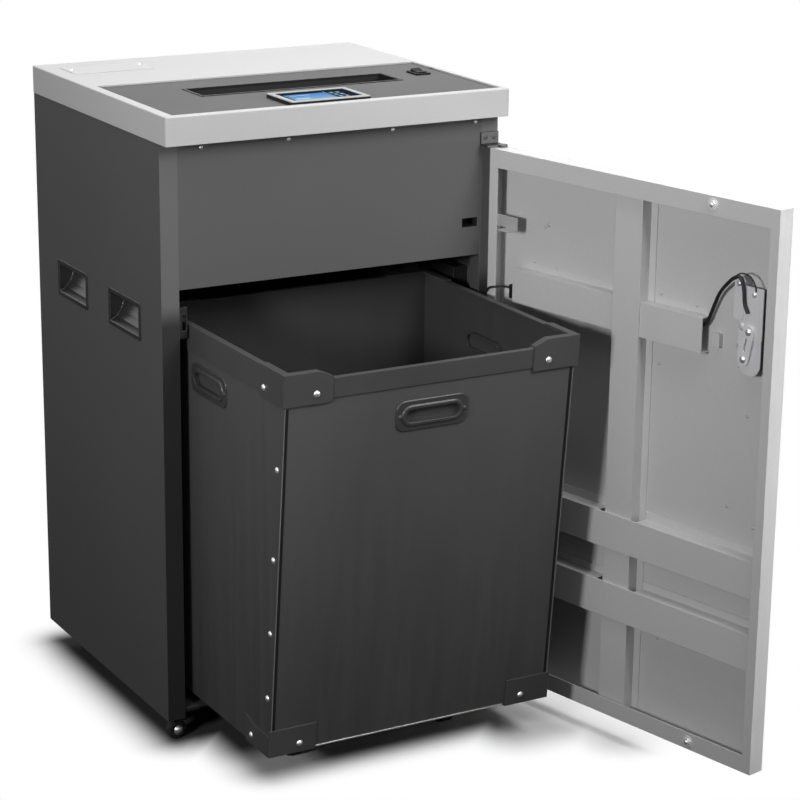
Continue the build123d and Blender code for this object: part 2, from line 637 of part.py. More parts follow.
def shaft_bushes():
    """Flanged bushes of both shafts, in both plates, with the flanges outside."""
    bushes = []
    bore = SHAFT_RADIUS + RUNNING_FIT
    outer = SHAFT_RADIUS + BUSH_WALL
    for y in (FRONT_SHAFT_Y, REAR_SHAFT_Y):
        for inner, way in ((HEAD_LEFT, -1), (HEAD_RIGHT, 1)):
            face = inner + way * HEAD_PLATE
            end = face + way * BUSH_FLANGE
            bush = rod("x", (y, SHAFT_Z), outer, min(inner, face), max(inner, face))
            bush += rod("x", (y, SHAFT_Z), outer + BUSH_FLANGE, min(face, end), max(face, end))
            bushes.append(bush - rod("x", (y, SHAFT_Z), bore, min(inner, end), max(inner, end)))
    return bushes


def disc_section(turn):
    """One cutting disc: ramps that rise to a hooked edge, repeated round the disc."""
    points = []
    step = 360 / DISC_TEETH
    for tooth in range(DISC_TEETH):
        for share, drop in DISC_RAMP:
            angle = math.radians(turn + (tooth + share) * step)
            radius = DISC_RADIUS - drop * DISC_TOOTH
            points.append((radius * math.cos(angle), radius * math.sin(angle)))
    return Polygon(*points, align=None)


def cutter(y, first, end, turn_way):
    """Cutter shaft milled from one bar: journals, a core, and toothed discs with gaps between."""
    shaft = rod("x", (y, SHAFT_Z), SHAFT_RADIUS, HEAD_LEFT - HEAD_PLATE - BUSH_FLANGE, end)
    shaft += rod("x", (y, SHAFT_Z), SPACER_RADIUS, HEAD_LEFT + DISC_CLEAR, HEAD_RIGHT - DISC_CLEAR)
    for index in range(DISC_COUNT):
        x = first + index * DISC_PITCH
        disc = Pos(y, SHAFT_Z) * disc_section(turn_way * index * DISC_STAGGER)
        shaft += prism(disc, "x", x, x + DISC_WIDTH)
    return shaft


def stripper_comb(y, way, first):
    """Bar between the plates with a finger in each gap between two discs of its shaft."""
    near = y + way * (DISC_RADIUS + NIP_CLEAR)
    far = near + way * COMB_BAR
    tip = y + way * (SPACER_RADIUS + FINGER_CLEAR)
    comb = block(HEAD_LEFT, HEAD_RIGHT, min(near, far), max(near, far),
                 SHAFT_Z - COMB_HEIGHT / 2, SHAFT_Z + COMB_HEIGHT / 2)
    for index in range(DISC_COUNT - 1):
        x = first + index * DISC_PITCH + DISC_WIDTH + FINGER_CLEAR
        width = DISC_PITCH - DISC_WIDTH - 2 * FINGER_CLEAR
        comb += block(x, x + width, min(near, tip), max(near, tip),
                      SHAFT_Z - FINGER_HEIGHT / 2, SHAFT_Z + FINGER_HEIGHT / 2)
    return comb


def gear_section(teeth, turn, bore):
    """Spur gear section with slightly thinned, straight-flanked teeth, and its bore."""
    step = 360 / teeth
    tip = GEAR_MODULE * (teeth / 2 + GEAR_ADDENDUM)
    root = GEAR_MODULE * (teeth / 2 - GEAR_DEDENDUM)
    flank = ((-GEAR_ROOT_SHARE, root), (-GEAR_TIP_SHARE, tip), (GEAR_TIP_SHARE, tip), (GEAR_ROOT_SHARE, root))
    points = []
    for tooth in range(teeth):
        for share, radius in flank:
            angle = math.radians(turn + (tooth + share) * step)
            points.append((radius * math.cos(angle), radius * math.sin(angle)))
    section = Polygon(*points, align=None)
    return section - Circle(bore) if bore else section


def sync_gear_front():
    """Gear on the front cutter shaft, with a tooth towards the rear shaft."""
    section = Pos(FRONT_SHAFT_Y, SHAFT_Z) * gear_section(SYNC_TEETH, 0, SHAFT_RADIUS)
    return prism(section, "x", SYNC_X, SYNC_X + GEAR_WIDTH)


def drive_gear_cluster():
    """Stepped gear on the rear cutter shaft: the mate of the front gear, and the large driven gear."""
    small = gear_section(SYNC_TEETH, 180 + 180 / SYNC_TEETH, SHAFT_RADIUS)
    large = gear_section(DRIVE_TEETH, 0, SHAFT_RADIUS)
    place = Pos(REAR_SHAFT_Y, SHAFT_Z)
    hub = Circle(SPACER_RADIUS) - Circle(SHAFT_RADIUS)
    gear = prism(place * small, "x", SYNC_X, SYNC_X + GEAR_WIDTH)
    gear += prism(place * hub, "x", SYNC_X + GEAR_WIDTH, DRIVE_X)
    return gear + prism(place * large, "x", DRIVE_X, DRIVE_X + GEAR_WIDTH)


def motor_pinion():
    """Pinion cut on the end of the motor's shaft."""
    section = gear_section(PINION_TEETH, 180 + 180 / PINION_TEETH, 0)
    pinion = prism(Pos(MOTOR_Y, SHAFT_Z) * section, "x", DRIVE_X, DRIVE_X + GEAR_WIDTH)
    return pinion + rod("x", (MOTOR_Y, SHAFT_Z), MOTOR_SHAFT, HEAD_RIGHT - MOTOR_NECK, DRIVE_X)


def motor():
    """Round motor bolted to the right head plate, with a stepped back bell, turned about its shaft."""
    length = MOTOR_LENGTH
    radius = MOTOR_RADIUS
    bore = MOTOR_SHAFT + RUNNING_FIT
    can, can_start, can_end = radius * MOTOR_CAN[0], length * MOTOR_CAN[1], length * MOTOR_CAN[2]
    half = Polygon((0, 0), (radius * MOTOR_NOSE, 0), (radius, radius * MOTOR_BELL),
                   (radius, length * MOTOR_BELL), (can, can_start), (can, can_end),
                   (radius, length * MOTOR_FLANGE), (radius, length), (bore, length),
                   (bore, length - MOTOR_NECK), (0, length - MOTOR_NECK), align=None)
    turned = revolve(Plane.XZ * half, Axis.Z)
    return Pos(HEAD_RIGHT - length, MOTOR_Y, SHAFT_Z) * Rot(0, 90, 0) * turned


def control_box():
    """Housing of the control board, standing on the deck beside the head."""
    box = block(CONTROL_LEFT, CONTROL_RIGHT, CONTROL_Y - CONTROL_DEPTH / 2, CONTROL_Y + CONTROL_DEPTH / 2,
                DECK_TOP, DECK_TOP + CONTROL_HEIGHT)
    box = fillet(box.edges().filter_by(Axis.Z), CONTROL_EDGE)
    return chamfer(box.edges().group_by(Axis.Z)[-1], CONTROL_EDGE / 2)


def interlock_switch():
    """Switch housing behind the front panel's slot, open to the front for the door's tab."""
    half_x = INTERLOCK_WIDTH / 2 + INTERLOCK_WALL
    half_z = INTERLOCK_HEIGHT / 2 + INTERLOCK_WALL
    front = FRONT_Y + SHEET
    body = block(INTERLOCK_X - half_x, INTERLOCK_X + half_x, front, front + INTERLOCK_DEEP,
                 INTERLOCK_Z - half_z, INTERLOCK_Z + half_z)
    return body - block(INTERLOCK_X - INTERLOCK_WIDTH / 2, INTERLOCK_X + INTERLOCK_WIDTH / 2, front,
                        front + INTERLOCK_DEEP - INTERLOCK_WALL, INTERLOCK_Z - INTERLOCK_HEIGHT / 2,
                        INTERLOCK_Z + INTERLOCK_HEIGHT / 2)


# Hinges and strike
def hinge_bracket_upper():
    """Angle on the post above the door, with a pin down into the door's top fold."""
    low = DOOR_TOP + BRACKET_GAP
    arm = block(SIDE_X - BRACKET_LENGTH, SIDE_X, PIVOT[1], FRONT_Y, low, low + BRACKET_THICK)
    arm += rod("z", PIVOT, SIDE_X - PIVOT[0] + PIN_RADIUS, low, low + BRACKET_THICK)
    arm += block(SIDE_X - BRACKET_LENGTH, SIDE_X, FRONT_Y - BRACKET_THICK, FRONT_Y,
                 low, low + BRACKET_RISE)
    return arm + rod("z", PIVOT, PIN_RADIUS, DOOR_TOP - PIN_REACH, low)


def hinge_bracket_lower():
    """Angle under the post's front fold, with a pin up into the door's bottom fold."""
    high = BODY_BOTTOM - BRACKET_GAP
    low = high - BRACKET_THICK
    back = FRONT_Y + SHEET
    arm = block(SIDE_X - BRACKET_LENGTH, SIDE_X, PIVOT[1], back + BRACKET_THICK, low, high)
    arm += rod("z", PIVOT, SIDE_X - PIVOT[0] + PIN_RADIUS, low, high)
    arm += block(SIDE_X - BRACKET_LENGTH, INNER_X, back, back + BRACKET_THICK,
                 low, BASE_Z - CASTER_PLATE_THICK)
    return arm + rod("z", PIVOT, PIN_RADIUS, high, DOOR_BOTTOM + PIN_REACH)


def strike_plate():
    """Catch for the lock on the left post: a foot on its inner wall and a tongue across the opening."""
    low = STRIKE_Z - STRIKE_HEIGHT / 2
    high = STRIKE_Z + STRIKE_HEIGHT / 2
    line = [(-POST_X, FRONT_Y + STRIKE_FOOT), (-POST_X, FRONT_Y), (-POST_X + STRIKE_REACH, FRONT_Y)]
    mirrored_line = [(-x, y) for x, y in line]
    plate = mirrored(prism(folded(mirrored_line, STRIKE_THICK), "z", low, high))
    slot = Box(STRIKE_REACH / 2, 4 * STRIKE_THICK, STRIKE_HEIGHT / 2)
    return plate - Pos(-POST_X + STRIKE_REACH * STRIKE_SLOT_PLACE, FRONT_Y, STRIKE_Z) * slot


# Casters
def caster_places():
    """The four caster centres in order: front left, front right, rear left, rear right."""
    return {"front_left": (-CASTER_X, CASTER_FRONT_Y), "front_right": (CASTER_X, CASTER_FRONT_Y),
            "rear_left": (-CASTER_REAR_X, CASTER_REAR_Y), "rear_right": (CASTER_REAR_X, CASTER_REAR_Y)}


def caster_plate(x, y):
    """Top plate of a caster under the base, with its boss and king pin."""
    plate = Box(CASTER_PLATE, CASTER_PLATE, CASTER_PLATE_THICK)
    plate = Pos(x, y, BASE_Z - CASTER_PLATE_THICK / 2) * plate
    plate += rod("z", (x, y), CASTER_BOSS, CROWN_TOP + SEAT_GAP, BASE_Z - CASTER_PLATE_THICK)
    return plate + rod("z", (x, y), CASTER_PIN, CROWN_Z, CROWN_TOP + SEAT_GAP)


def caster_fork(x, y):
    """Swivel fork: a crown on the king pin and two legs down to the axle, trailing to the left."""
    half = CASTER_WIDTH / 2 + FORK_GAP
    axle = (x - CASTER_TRAIL, CASTER_RADIUS)
    crown = Pos(x, y) * Circle(FORK_HEAD)
    crown += Pos(x - CASTER_TRAIL / 2, y) * Rectangle(CASTER_TRAIL + FORK_LEG, 2 * half + 2 * FORK_SHEET)
    fork = prism(crown - Pos(x, y) * Circle(CASTER_PIN + RUNNING_FIT), "z", CROWN_Z, CROWN_TOP)
    leg = Pos(*axle) * Circle(FORK_LEG / 2)
    leg += Pos(axle[0], (CASTER_RADIUS + CROWN_TOP) / 2) * Rectangle(FORK_LEG, CROWN_TOP - CASTER_RADIUS)
    for near in (y - half - FORK_SHEET, y + half):
        fork += prism(leg, "y", near, near + FORK_SHEET)
    return fork + rod("y", axle, CASTER_AXLE, y - half, y + half)


def caster_wheel(x, y):
    """Solid caster wheel with a rounded tread, turned about its axle."""
    tread = CASTER_WIDTH / 5
    section = Rectangle(CASTER_RADIUS, CASTER_WIDTH, align=(Align.MIN, Align.CENTER))
    section = chamfer(section.vertices().group_by(Axis.X)[-1], tread)
    bore = Rectangle(CASTER_AXLE + RUNNING_FIT, 2 * CASTER_WIDTH, align=(Align.MIN, Align.CENTER))
    section -= bore
    wheel = revolve(section, Axis.Y)
    return Pos(x - CASTER_TRAIL, y, CASTER_RADIUS) * wheel


# Door, drawn shut
def door_pan():
    """Door skin folded on four sides, with a turned-in rim and the two pin holes."""
    half = DOOR_WIDTH / 2
    pan = block(-half, half, DOOR_FRONT, DOOR_BACK, DOOR_BOTTOM, DOOR_TOP)
    pan = chamfer(pan.edges().group_by(Axis.Y)[0], DOOR_EDGE)
    pan -= block(-half + SHEET, half - SHEET, DOOR_SKIN, DOOR_BACK - SHEET,
                 DOOR_BOTTOM + SHEET, DOOR_TOP - SHEET)
    pan -= block(-half + DOOR_RIM_FREE, half - DOOR_RIM_HINGE, DOOR_BACK - SHEET, DOOR_BACK,
                 DOOR_BOTTOM + DOOR_RIM_BOTTOM, DOOR_TOP - DOOR_RIM_TOP)
    return pan - rod("z", PIVOT, PIN_RADIUS + RUNNING_FIT, DOOR_BOTTOM, DOOR_TOP)


def door_stile():
    """Hat stiffener up the middle of the door, on the skin."""
    section = Pos(0, DOOR_SKIN) * hat(STILE_WIDTH, STILE_DEPTH, STILE_FLANGE, SHEET)
    return prism(section, "z", DOOR_BOTTOM + SHEET, DOOR_TOP - SHEET)


def door_rails():
    """Two hat rails across the door, notched where they pass over the stile."""
    half = DOOR_WIDTH / 2 - SHEET
    depth = DOOR_DEPTH - 2 * SHEET - RAIL_DROP
    notch = STILE_WIDTH / 2 + STILE_FLANGE + SEAT_GAP
    rails = []
    for z in RAIL_PLACES:
        section = hat(RAIL_HEIGHT, depth, RAIL_FLANGE, SHEET)
        lying = Plane(origin=(-half, DOOR_SKIN, z), x_dir=(0, 0, -1), z_dir=(1, 0, 0)) * section
        rail = extrude(lying, 2 * half - SEAT_GAP, dir=(1, 0, 0))
        passage = block(-notch, notch, DOOR_SKIN, DOOR_SKIN + STILE_DEPTH + SEAT_GAP,
                        z - RAIL_HEIGHT, z + RAIL_HEIGHT)
        rails.append(rail - passage)
    return rails


def cable_cover(x0, x1):
    """Channel over the lock's lead, standing on the door skin and notched over the stile's flange."""
    low = COVER_Z - COVER_HEIGHT / 2
    high = COVER_Z + COVER_HEIGHT / 2
    crown = DOOR_SKIN + COVER_DEPTH
    line = [(DOOR_SKIN, high), (crown, high), (crown, low), (DOOR_SKIN, low)]
    cover = prism(folded(line, SHEET), "x", x0, x1)
    flange_end = STILE_WIDTH / 2 + STILE_FLANGE + SEAT_GAP
    return cover - block(-flange_end, flange_end, DOOR_SKIN, DOOR_SKIN + SHEET + SEAT_GAP, low, high)


def cable_covers():
    """The two covers, one on each side of the stile."""
    start = STILE_WIDTH / 2 + SEAT_GAP
    hinge_side = cable_cover(start, start + COVER_HINGE_LENGTH)
    return [hinge_side, cable_cover(-start - COVER_LOCK_LENGTH, -start)]


def lock_plate_y():
    """The face of the lock plate that the lock's case lies under."""
    return DOOR_SKIN + LOCK_DEPTH + SEAT_GAP


def lock_plate_edge():
    """The lock plate's edge towards the hinge, where its foot is folded down."""
    return LOCK_X + LOCK_WIDTH / 2 + SEAT_GAP


def lock_case():
    """Lock case on the door skin near the free edge."""
    return block(LOCK_X - LOCK_WIDTH / 2, LOCK_X + LOCK_WIDTH / 2, DOOR_SKIN, DOOR_SKIN + LOCK_DEPTH,
                 LOCK_Z - LOCK_HEIGHT / 2, LOCK_Z + LOCK_HEIGHT / 2)


def lock_bracket():
    """Plate over the lock's case, rounded below, on a folded foot, with a bolt cover and a lead strap."""
    edge = lock_plate_edge()
    face = lock_plate_y()
    low = LOCK_Z - LOCK_PLATE_HEIGHT / 2
    high = LOCK_Z + LOCK_PLATE_HEIGHT / 2
    far = edge - LOCK_PLATE_WIDTH
    outline = Pos((edge + far) / 2, LOCK_Z) * Rectangle(LOCK_PLATE_WIDTH, LOCK_PLATE_HEIGHT)
    outline = fillet(outline.vertices().group_by(Axis.Y)[0], LOCK_PLATE_ROUND)
    bracket = prism(outline, "y", face, face + SHEET)
    line = [(edge + SHEET + LOCK_PLATE_FOOT, DOOR_SKIN), (edge, DOOR_SKIN), (edge, face + SHEET)]
    bracket += prism(folded(line, SHEET), "z", low + LOCK_FOOT_RISE, high)
    cover = Pos(far - BOLT_COVER_LAP + BOLT_COVER_WIDTH / 2, high - BOLT_COVER_HEIGHT / 2)
    cover *= RectangleRounded(BOLT_COVER_WIDTH, BOLT_COVER_HEIGHT, LOCK_PLATE_CORNER)
    strap_height = LEAD_STRAP_LOW + LEAD_STRAP_HIGH
    strap = Pos(edge - LEAD_STRAP_LAP + LEAD_STRAP_WIDTH / 2, high - LEAD_STRAP_LOW + strap_height / 2)
    strap *= RectangleRounded(LEAD_STRAP_WIDTH, strap_height, 2 * LOCK_PLATE_CORNER)
    for plate in (cover, strap):
        bracket += prism(plate, "y", face + SHEET, face + 2 * SHEET)
    return bracket - rod("y", lever_pivot(), LEVER_PIN + RUNNING_FIT, face, face + 2 * SHEET)


def lever_pivot():
    """The lever's pivot on the lock plate, as x and z."""
    return lock_plate_edge() - LEVER_ACROSS, LOCK_Z + LOCK_PLATE_HEIGHT / 2 - LEVER_DROP


def lock_lever():
    """Slotted lever that hangs on the lock plate and turns about its stub pin."""
    x, z = lever_pivot()
    face = lock_plate_y() + 2 * SHEET + LEVER_LIFT
    body = Pos(0, -LEVER_LENGTH / 2) * Rot(0, 0, 90) * SlotCenterToCenter(LEVER_LENGTH, LEVER_WIDTH)
    slot = Rot(0, 0, 90) * SlotCenterToCenter(LEVER_SLOT, LEVER_SLOT_WIDTH)
    body -= Pos(0, -LEVER_LENGTH * LEVER_SLOT_PLACE) * slot
    lever = prism(Pos(x, z) * Rot(0, 0, LEVER_LEAN) * body, "y", face, face + LEVER_THICK)
    return lever + rod("y", (x, z), LEVER_PIN, lock_plate_y() + SEAT_GAP, face)


def lock_cable():
    """The lock's lead, out of the cover's open end, over the strap and down on the bolt cover."""
    path = Spline(*[(x, DOOR_SKIN + lift, z) for x, z, lift in CABLE_ROUTE])
    return sweep(Plane(origin=path @ 0, z_dir=path % 0) * Circle(CABLE_RADIUS), path)


def interlock_tab():
    """Bent tab under the hinge-side rim that enters the front panel's slot when the door is shut."""
    half = INTERLOCK_WIDTH / 2 - TAB_CLEAR
    under = DOOR_BACK - SHEET
    arm = block(INTERLOCK_X - half, DOOR_WIDTH / 2 - SHEET - SEAT_GAP, under - SHEET, under,
                INTERLOCK_Z, INTERLOCK_Z + TAB_ARM)
    return arm + block(INTERLOCK_X - half, INTERLOCK_X + half, under - SHEET, under + TAB_REACH,
                       INTERLOCK_Z - SHEET, INTERLOCK_Z)


# Bin
def bin_front_y(z):
    """The bin's leaning front, at a height."""
    return BIN_FRONT + (BIN_TOP - z) * BIN_LEAN / (BIN_TOP - BIN_BOTTOM)


def bin_envelope(grow):
    """The whole outside of the bin as one solid, grown by a skin."""
    high = BIN_TOP + grow
    low = BIN_BOTTOM - grow
    section = Polygon((bin_front_y(high) - grow, high), (BIN_BACK + grow, high), (BIN_BACK + grow, low),
                      (bin_front_y(low) - grow, low), align=None)
    return prism(section, "x", -BIN_WIDTH / 2 - grow, BIN_WIDTH / 2 + grow) - front_dip(high)


def front_dip(high):
    """The dip in the bin's front between the corner caps, as a cutting block under a top level."""
    wide = BIN_WIDTH / 2 - CAP_FLAT
    narrow = BIN_WIDTH / 2 - CAP_LENGTH
    section = Polygon((-wide, high), (-narrow, high - RIM_DIP), (narrow, high - RIM_DIP), (wide, high),
                      align=None)
    return prism(section, "y", 2 * BIN_FRONT, BIN_FRONT + RIM_INNER)


def bin_mouth():
    """The clear opening inside the bin's rim, as a cutting block."""
    half = BIN_WIDTH / 2 - RIM_INNER
    front = BIN_FRONT + RIM_INNER
    return block(-half, half, front, BIN_BACK - RIM_INNER,
                 BIN_TOP - RIM_HEIGHT, BIN_TOP + 4 * CAP_SHEET)


def handle_slot(border):
    """The rounded opening of a bin grip, grown by a border."""
    return SlotOverall(HANDLE_OPENING + 2 * border, HANDLE_OPENING_HEIGHT + 2 * border)


def bin_side():
    """Left wall of the bin, following the leaning front, holed for its grip."""
    wall = bin_envelope(0) & block(-BIN_WIDTH / 2, -BIN_WIDTH / 2 + BIN_BOARD, BIN_FRONT, BIN_BACK,
                                   BIN_BOTTOM, BIN_TOP)
    hole = handle_slot(HANDLE_WALL + SEAT_GAP)
    hole = Pos(BIN_FRONT + HANDLE_SIDE_SETBACK, HANDLE_SIDE_Z) * hole
    return wall - prism(hole, "x", -BIN_WIDTH / 2, -BIN_WIDTH / 2 + BIN_BOARD)


def front_handle_plane():
    """Plane of the bin's leaning front at the grip, facing forward."""
    lean = Vector(0, BIN_LEAN, BIN_BOTTOM - BIN_TOP)
    facing = lean.cross(Vector(1, 0, 0))
    return Plane(origin=(0, bin_front_y(HANDLE_Z), HANDLE_Z), x_dir=(1, 0, 0), z_dir=facing)


def bin_front():
    """Leaning front wall between the side walls, holed for its grip."""
    half = BIN_WIDTH / 2 - BIN_BOARD
    section = Polygon((BIN_FRONT, BIN_TOP), (BIN_FRONT + BIN_BOARD, BIN_TOP),
                      (BIN_FOOT + BIN_BOARD, BIN_BOTTOM), (BIN_FOOT, BIN_BOTTOM), align=None)
    wall = prism(section, "x", -half, half)
    hole = front_handle_plane() * handle_slot(HANDLE_WALL + SEAT_GAP)
    return wall - extrude(hole, 3 * BIN_BOARD, both=True) - front_dip(BIN_TOP)


def bin_rear():
    """Upright back wall between the side walls."""
    half = BIN_WIDTH / 2 - BIN_BOARD
    return block(-half, half, BIN_BACK - BIN_BOARD, BIN_BACK, BIN_BOTTOM, BIN_TOP)


def bin_floor():
    """Floor between the four walls, with its front edge cut to the lean."""
    half = BIN_WIDTH / 2 - BIN_BOARD
    top = BIN_BOTTOM + BIN_BOARD
    section = Polygon((BIN_FOOT + BIN_BOARD, BIN_BOTTOM), (BIN_BACK - BIN_BOARD, BIN_BOTTOM),
                      (BIN_BACK - BIN_BOARD, top), (bin_front_y(top) + BIN_BOARD, top), align=None)
    return prism(section, "x", -half, half)


def bin_rim():
    """Folded band round the top of the walls, open over the mouth."""
    reach = LID_WIDTH
    band = block(-reach, reach, 2 * BIN_FRONT, reach, BIN_TOP - RIM_HEIGHT, BIN_TOP + RIM_SHEET)
    return (bin_envelope(RIM_SHEET) & band) - bin_envelope(0) - bin_mouth()


def cap_ears(way):
    """What is cut away above one wing of a foot cap, so that its end stands up as an ear."""
    level = BIN_BOTTOM + CAP_FOOT_HEIGHT
    ear = BIN_BOTTOM + CAP_EAR_HEIGHT
    above = ear + CUT_PAST
    wing = Polygon((0, level), (CAP_EAR_START, level), (CAP_LENGTH, ear), (CAP_LENGTH, above), (0, above),
                   align=None)
    return wing if way > 0 else mirror(wing, about=Plane.YZ)


def bin_caps():
    """Moulded corner caps: four over the rim, four under the floor's corners with raised ears."""
    caps = []
    outer = RIM_SHEET + CAP_SHEET
    over_rim = bin_envelope(outer) - bin_envelope(RIM_SHEET) - bin_mouth()
    under_floor = bin_envelope(CAP_SHEET) - bin_envelope(0)
    upper = (over_rim, outer, BIN_TOP - CAP_HEIGHT + outer, BIN_TOP + outer)
    lower = (under_floor, CAP_SHEET, BIN_BOTTOM - CAP_SHEET, BIN_BOTTOM + CAP_EAR_HEIGHT)
    for skin, grow, low, high in (upper, lower):
        edge = BIN_WIDTH / 2 + grow
        front = min(bin_front_y(low), bin_front_y(high)) - grow
        front_inner = bin_front_y(low if grow == CAP_SHEET else high) - grow + CAP_LENGTH
        back = BIN_BACK + grow
        for y0, y1, way in ((front, front_inner, 1), (back - CAP_LENGTH, back, -1)):
            left = skin & block(-edge, -edge + CAP_LENGTH, y0, y1, low, high)
            if grow == CAP_SHEET:
                corner = y1 - CAP_LENGTH if way > 0 else y1
                across = prism(Pos(-edge) * cap_ears(1), "y", y0, y1)
                along = prism(Pos(corner) * cap_ears(way), "x", -edge, -edge + CAP_LENGTH)
                left -= across & along
            caps.extend((left, mirrored(left)))
    return caps


def bin_handle():
    """One moulded bin grip lying on z = 0: a flange, a raised lip and a collar through the wall."""
    grip = extrude(RectangleRounded(HANDLE_LENGTH, HANDLE_HEIGHT, HANDLE_ROUND), HANDLE_PROUD)
    grip = chamfer(grip.edges().group_by(Axis.Z)[-1], HANDLE_PROUD / 2)
    lip = extrude(handle_slot(HANDLE_WALL + HANDLE_LIP), HANDLE_LIP_PROUD)
    grip += chamfer(lip.edges().group_by(Axis.Z)[-1], HANDLE_LIP / 2)
    grip += extrude(handle_slot(HANDLE_WALL), -BIN_BOARD - HANDLE_DEEP)
    return grip - extrude(handle_slot(0), 4 * HANDLE_DEEP, both=True)


def bin_handles():
    """The grips of the bin's front and both sides."""
    side_y = BIN_FRONT + HANDLE_SIDE_SETBACK
    side = Plane(origin=(-BIN_WIDTH / 2, side_y, HANDLE_SIDE_Z), x_dir=(0, 1, 0), z_dir=(-1, 0, 0))
    left = side.location * bin_handle()
    return [front_handle_plane().location * bin_handle(), left, mirrored(left)]


def bin_wheelset(setback):
    """Axle with its two wheels, turned as one piece and laid along X."""
    y = BIN_FOOT + setback
    half = BIN_WHEEL_WIDTH / 2
    end = BIN_WHEEL_X + half + EAR_GAP + EAR_SHEET + AXLE_END
    wheels = rod("x", (y, BIN_WHEEL_RADIUS), BIN_AXLE, -end, end)
    for x in (-BIN_WHEEL_X, BIN_WHEEL_X):
        wheel = rod("x", (y, BIN_WHEEL_RADIUS), BIN_WHEEL_RADIUS, x - half, x + half)
        wheels += chamfer(wheel.edges().filter_by(GeomType.CIRCLE), BIN_WHEEL_WIDTH / 8)
    return wheels


def axle_bracket(x, setback):
    """Folded bracket under the bin's floor, with an ear on each side of a wheel."""
    y = BIN_FOOT + setback
    half = BIN_WHEEL_WIDTH / 2 + EAR_GAP + EAR_SHEET
    low = BIN_WHEEL_RADIUS - EAR_DROP
    line = [(x - half, low), (x - half, BIN_BOTTOM), (x + half, BIN_BOTTOM), (x + half, low)]
    bracket = prism(folded(line, EAR_SHEET), "y", y - EAR_LENGTH / 2, y + EAR_LENGTH / 2)
    return bracket - rod("x", (y, BIN_WHEEL_RADIUS), BIN_AXLE + RUNNING_FIT, x - half, x + half)


def build_cabinet():
    PARTS["side_panel_left"] = side_panel()
    PARTS["side_panel_right"] = mirrored(side_panel())
    left_grips = [side_grip(y) for y in GRIP_PLACES]
    PARTS["side_grips"] = left_grips + [mirrored(grip) for grip in left_grips]
    PARTS["rear_panel"] = rear_panel()
    PARTS["power_inlet"] = power_inlet()
    PARTS["base_frame"] = base_frame()
    PARTS["upper_front_panel"] = upper_front_panel()
    PARTS["head_deck"] = head_deck()
    PARTS["lid_shell"] = lid_shell()
    PARTS["lid_inlay"] = lid_inlay()
    PARTS["feed_throat"] = feed_throat()
    PARTS["display_bezel"] = display_bezel()
    PARTS["display_panel"] = display_panel()
    PARTS["switch_frame"] = switch_frame()
    PARTS["switch_rocker"] = switch_rocker()
    PARTS["hinge_bracket_upper"] = hinge_bracket_upper()
    PARTS["hinge_bracket_lower"] = hinge_bracket_lower()
    PARTS["strike_plate"] = strike_plate()
    PARTS["interlock_switch"] = interlock_switch()
    PARTS["control_box"] = control_box()


def build_head():
    first = HEAD_LEFT + DISC_CLEAR
    rear_first = first + DISC_PITCH / 2
    PARTS["head_plate_left"] = head_plate(HEAD_LEFT - HEAD_PLATE, False)
    PARTS["head_plate_right"] = head_plate(HEAD_RIGHT, True)
    PARTS["head_tie_bars"] = tie_bars()
    PARTS["shaft_bushes"] = shaft_bushes()
    PARTS["cutter_front"] = cutter(FRONT_SHAFT_Y, first, SYNC_X + GEAR_WIDTH, 1)
    PARTS["cutter_rear"] = cutter(REAR_SHAFT_Y, rear_first, DRIVE_X + GEAR_WIDTH, -1)
    front_comb = stripper_comb(FRONT_SHAFT_Y, -1, first)
    PARTS["stripper_combs"] = [front_comb, stripper_comb(REAR_SHAFT_Y, 1, rear_first)]
    PARTS["sync_gear_front"] = sync_gear_front()
    PARTS["drive_gear_cluster"] = drive_gear_cluster()
    PARTS["motor_pinion"] = motor_pinion()
    PARTS["motor"] = motor()


def build_casters():
    places = caster_places()
    PARTS["caster_plates"] = [caster_plate(x, y) for x, y in places.values()]
    for name, (x, y) in places.items():
        PARTS["caster_fork_" + name] = caster_fork(x, y)
        PARTS["caster_wheel_" + name] = caster_wheel(x, y)


def build_door():
    PARTS["door_pan"] = swung(door_pan())
    PARTS["door_stile"] = swung(door_stile())
    PARTS["door_rails"] = [swung(rail) for rail in door_rails()]
    PARTS["cable_covers"] = [swung(cover) for cover in cable_covers()]
    PARTS["lock_case"] = swung(lock_case())
    PARTS["lock_bracket"] = swung(lock_bracket())
    PARTS["lock_lever"] = swung(lock_lever())
    PARTS["lock_cable"] = swung(lock_cable())
    PARTS["interlock_tab"] = swung(interlock_tab())


def build_bin():
    PARTS["bin_wall_left"] = bin_side()
    PARTS["bin_wall_right"] = mirrored(bin_side())
    PARTS["bin_wall_front"] = bin_front()
    PARTS["bin_wall_rear"] = bin_rear()
    PARTS["bin_floor"] = bin_floor()
    PARTS["bin_rim"] = bin_rim()
    PARTS["bin_corner_caps"] = bin_caps()
    PARTS["bin_handles"] = bin_handles()
    for name, setback in zip(("front", "rear"), BIN_WHEEL_SETBACKS):
        PARTS["bin_wheelset_" + name] = bin_wheelset(setback)
    PARTS["bin_axle_brackets"] = [axle_bracket(x, setback) for setback in BIN_WHEEL_SETBACKS
                                  for x in (-BIN_WHEEL_X, BIN_WHEEL_X)]


def write_parts():
    """Write one file for each node: a single solid, or a group of separate ones."""
    os.makedirs("parts", exist_ok=True)
    for name, shape in PARTS.items():
        if isinstance(shape, list):
            shape = Compound(children=[solid for item in shape for solid in item.solids()])
        export_step(shape, "parts/" + name + ".step")


build_cabinet()
build_head()
build_casters()
build_door()
build_bin()
write_parts()
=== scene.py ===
# %% [markdown]
# # A paper shredder, dressed in Blender
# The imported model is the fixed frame: sheet-metal cabinet, lid, open door and rolled-out bin are all there
# in metres, at their places. This lesson gives every sheet its paint and adds the small hardware that a
# fabricator would add last: rivets, screws, weld marks, plates, and the leads of the lock and the hinge.

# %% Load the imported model
import math

import bmesh
import bpy
from mathutils import Matrix, Vector


